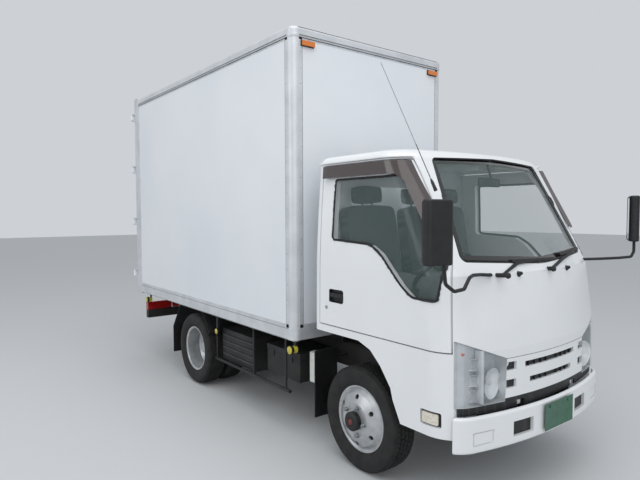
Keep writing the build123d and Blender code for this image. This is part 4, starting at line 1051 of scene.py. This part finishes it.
for side, hand in ((-1, "right"), (1, "left")):
    liner = bmesh.new()
    outer_edge, inner_edge = side * 0.8405, side * 0.640
    rows = [liner.verts.new((outer_edge, y_at(y), z / 1000 - 0.002)) for y, z in arch]
    for pair in zip(rows, rows[1:]):
        liner.edges.new(pair)
    bmesh.ops.bevel(
        liner, geom=rows[1:-1], offset=0.045, segments=4, profile=0.5, affect="VERTICES", material=-1
    )
    swept = bmesh.ops.extrude_edge_only(liner, edges=liner.edges[:])["geom"]
    bmesh.ops.translate(liner, vec=(inner_edge - outer_edge, 0, 0), verts=verts_in(swept))
    thicken(piece(f"arch_liner_{hand}", liner, moulded_black, "cab"), 0.003, 0)
    flap = bmesh.new()
    add_block(flap, (side * 0.62, y_at(440), 0.24), (side * 0.835, y_at(448), 0.74), 0.003, 1)
    piece(f"front_flap_{hand}", flap, seal_rubber, "chassis")
print("under the truck made")

# %% [markdown]
# The cab has a driver's seat and a wider bench for two. Each has a base cushion, a back and head
# rests, all of foam under a woven cover that pulls their corners in. A cushion starts as a block,
# gets loops of edges, and its upper and lower faces swell before a subdivision rounds it.

# %% Seats
seat_weave = new_material("seat_weave", "#4b4e53", 0.92, Sheen_Weight=0.35, Sheen_Roughness=0.5)
tree, surface = tree_and_surface(seat_weave)
place = add_node(tree, "ShaderNodeTexCoord")
thread = add_node(
    tree, "ShaderNodeTexWave", {"Scale": 120, "Distortion": 1.5}, {"Vector": place.outputs["Object"]}
)
ramp = add_node(tree, "ShaderNodeValToRGB", links={"Fac": thread.outputs["Fac"]})
ramp.color_ramp.elements[0].color = linear("#43464a")
ramp.color_ramp.elements[1].color = linear("#5a5e64")
tree.links.new(ramp.outputs["Color"], surface.inputs["Base Color"])
bump = add_node(
    tree, "ShaderNodeBump", {"Strength": 0.4, "Distance": 0.001}, {"Height": thread.outputs["Fac"]}
)
tree.links.new(bump.outputs["Normal"], surface.inputs["Normal"])


def cushion(name, size, centre, lean, crown):
    """A crowned cushion of a size about its centre, leaning back by an angle."""
    bm = bmesh.new()
    bmesh.ops.create_cube(bm, size=1, matrix=Matrix.Diagonal((*size, 1)))
    bmesh.ops.subdivide_edges(bm, edges=bm.edges[:], cuts=5, use_grid_fill=True)
    half_size = Vector(size) / 2
    for vert in bm.verts:
        u, v, w = (vert.co[i] / half_size[i] for i in range(3))
        swell = (1 - u ** 4) * (1 - v ** 4)
        vert.co.z += w * crown * swell
        vert.co.x -= u * crown * 0.5 * (abs(u) > 0.99) * (v * v)
        vert.co.y -= v * crown * 0.5 * (abs(v) > 0.99) * (u * u)
    place = Matrix.Translation(centre) @ Matrix.Rotation(radians(lean), 4, "X")
    bmesh.ops.transform(bm, matrix=place, verts=bm.verts[:])
    made = piece(name, bm, seat_weave, "cab", 180)
    soft = made.modifiers.new("soft", "SUBSURF")
    soft.levels = soft.render_levels = 2
    return made


for name, low, high in (("driver", -0.655, -0.155), ("bench", -0.055, 0.695)):
    width, middle = high - low, (low + high) / 2
    made = cushion(f"{name}_seat_base", (width, 0.50, 0.15), Vector((middle, y_at(25), 1.205)), 6, 0.018)
    if name == "driver":
        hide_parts("seats")
    cushion(f"{name}_seat_back", (width, 0.56, 0.12), Vector((middle, y_at(300), 1.525)), 80, 0.02)
    rests = (middle,) if name == "driver" else (middle - 0.19, middle + 0.19)
    for turn, x in enumerate(rests):
        cushion(f"{name}_head_rest_{turn}", (0.25, 0.13, 0.09), Vector((x, y_at(352), 1.885)), 84, 0.016)
frame_parts = bmesh.new()
for low, high in ((-0.64, -0.17), (-0.04, 0.68)):
    add_block(frame_parts, (low, y_at(-150), 0.9502), (high, y_at(280), 1.128), 0.015, 3)
for x in (-0.405, 0.13, 0.51):
    for dx in (-0.05, 0.05):
        add_rod(frame_parts, (x + dx, y_at(338), 1.76), (x + dx, y_at(350), 1.87), 0.006, 8)
piece("seat_boxes", frame_parts, moulded_grey, "cab")
print("seats made")

# %% [markdown]
# In the cab a hooded instrument panel faces the driver, with round air vents, a radio panel and a
# glove box lid. A small mirror and two sun visors hang at the top of the windscreen.

# %% Dashboard and fittings
panel = bmesh.new()
add_block(panel, (-0.58, y_at(-545), 1.385), (-0.22, y_at(-430), 1.47), 0.03, 4)
piece("instrument_hood", panel, moulded_black, "cab")
face = bmesh.new()
for x, r in ((-0.46, 42), (-0.34, 42), (-0.40, 20)):
    dial = ((0, 0), (0, r), (4, r), (5, r - 3), (1.5, r - 5), (1.5, 0))
    add_turned(face, dial, (x, y_at(-431), 1.425), (0, 1, 0), 28)
vent = ((0, 0), (0, 38), (6, 38), (8, 34), (3, 30), (3, 0))
for x in (-0.62, 0.62, -0.08, 0.08):
    add_turned(face, vent, (x, y_at(-433), 1.30), (0, 1, 0), 24)
add_block(face, (-0.10, y_at(-436), 1.17), (0.10, y_at(-427), 1.25), 0.003)
piece("dials_and_vents", face, moulded_black, "cab")
lids = bmesh.new()
add_block(lids, (0.22, y_at(-440), 1.165), (0.60, y_at(-430), 1.265), 0.008, 3)
piece("glove_lid", lids, moulded_grey, "cab")
lever = bmesh.new()
add_rod(lever, (-0.10, y_at(-440), 1.12), (-0.15, y_at(-350), 1.28), 0.008, 10)
bmesh.ops.create_uvsphere(
    lever, u_segments=16, v_segments=10, radius=0.024,
    matrix=Matrix.Translation((-0.152, y_at(-346), 1.288)),
)
add_rod(lever, (-0.42, y_at(-470), 1.25), (-0.56, y_at(-455), 1.30), 0.006, 8)
add_rod(lever, (-0.38, y_at(-470), 1.25), (-0.25, y_at(-455), 1.30), 0.006, 8)
piece("levers", lever, moulded_black, "cab")
bm = bmesh.new()
add_block(bm, (-0.12, y_at(-452), 1.925), (0.12, y_at(-438), 1.985), 0.012, 3)
add_rod(bm, (0, y_at(-462), 1.985), (0, y_at(-428), 2.078), 0.008, 8)
piece("inner_mirror", bm, moulded_black, "cab")
bm = bmesh.new()
add_block(bm, (-0.11, y_at(-437.5), 1.930), (0.11, y_at(-436.5), 1.980), 0)
piece("inner_mirror_glass", bm, mirror_silver, "cab")
lining_vinyl = new_material("lining_vinyl", "#b4b5b1", 0.85)
speckle(lining_vinyl, ("#acada9", "#bcbdb9"), 40)
grain(lining_vinyl, 500, 0.0004, 0.3)
bm = bmesh.new()
for low, high in ((-0.56, -0.14), (0.14, 0.56)):
    add_block(bm, (low, y_at(-418), 2.062), (high, y_at(-255), 2.082), 0.008, 3)
piece("sun_visors", bm, lining_vinyl, "cab")
for side, door in ((-1, "driver_door"), (1, "passenger_door")):
    trim = bmesh.new()
    add_block(trim, (side * 0.7835, y_at(-330), 1.03), (side * 0.7895, y_at(290), 1.20), 0.002, 1)
    add_block(trim, (side * 0.745, y_at(-260), 1.185), (side * 0.788, y_at(190), 1.225), 0.012, 3)
    piece(f"{door}_trim", trim, moulded_grey, door)
print("dashboard and fittings made")

# %% [markdown]
# The load space is lined with white sheet and floored with ribbed aluminium planks that drain
# to the rear. Rub rails run along the walls, and the cooling unit hangs from the roof with a grille.

# %% Load space
bm = bmesh.new()
for turn in range(31):
    x = -0.75 + turn * 0.05
    add_block(bm, (x - 0.006, y_at(760), 0.9045), (x + 0.006, y_at(4040), 0.911), 0.002, 1)
piece("floor_ribs", bm, anodised_rail, "chassis")
bm = bmesh.new()
for side in (-1, 1):
    for z in (1.15, 1.75, 2.35):
        add_block(bm, (side * 0.7945, y_at(760), z), (side * 0.783, y_at(3985), z + 0.09), 0.003, 1)
piece("rub_rails", bm, anodised_rail, "chassis")
bm = bmesh.new()
fan_ring = ((0, 20), (0, 120), (12, 120), (14, 112), (6, 108), (6, 20), (0, 20))
for x in (-0.24, 0.24):
    add_turned(bm, fan_ring, (x, y_at(1166), 2.96), (0, 1, 0), 32)
    hub_middle = Vector((x, y_at(1174), 2.96))
    for turn in range(6):
        angle = pi * turn / 6
        arm = Vector((cos(angle), 0, sin(angle))) * 0.11
        add_rod(bm, hub_middle - arm, hub_middle + arm, 0.0022, 6)
piece("cooler_fan_grilles", bm, moulded_black, "chassis")
print("load space made")

# %% [markdown]
# The studio is a pale floor with a backdrop of the same colour, under a large soft lamp above
# and one to each side, as on an overcast day.

# %% Studio
floor_paint = new_material("floor_paint", "#c9cbcc", 0.9)
bm = bmesh.new()
bmesh.ops.create_grid(bm, x_segments=1, y_segments=1, size=40)
mesh = bpy.data.meshes.new("studio_floor")
bm.to_mesh(mesh)
bm.free()
mesh.materials.append(floor_paint)
studio_floor = bpy.data.objects.new("studio_floor", mesh)
bpy.context.scene.collection.objects.link(studio_floor)
studio_floor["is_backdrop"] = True

world = bpy.data.worlds.new("studio_sky")
world.use_nodes = True
bpy.context.scene.world = world
sky = world.node_tree.nodes["Background"]
sky.inputs["Color"].default_value = linear("#e9edf2")
sky.inputs["Strength"].default_value = 0.75
for name, spot, aim, size, power in (
    ("lamp_above", (-2, -3, 8), (0, 0, 1), 8, 300),
    ("lamp_front", (-5, -9, 4), (0, -1.5, 1.2), 4, 90),
    ("lamp_side", (-9, 1, 4), (-0.8, 0.5, 1.5), 4, 90),
):
    data = bpy.data.lights.new(name, "AREA")
    data.size = size
    data.energy = power
    lamp = bpy.data.objects.new(name, data)
    lamp.location = spot
    lamp.rotation_euler = (Vector(aim) - Vector(spot)).to_track_quat("-Z", "Y").to_euler()
    bpy.context.scene.collection.objects.link(lamp)
bpy.context.scene.view_settings.view_transform = "Standard"

# %% [markdown]
# The boxes round the CAD model and round what is seen are printed, so that the truck's size can be
# compared with the one it started with.

# %% Close
for part in (cad_box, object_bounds()):
    print([[round(v, 3) for v in corner] for corner in part])
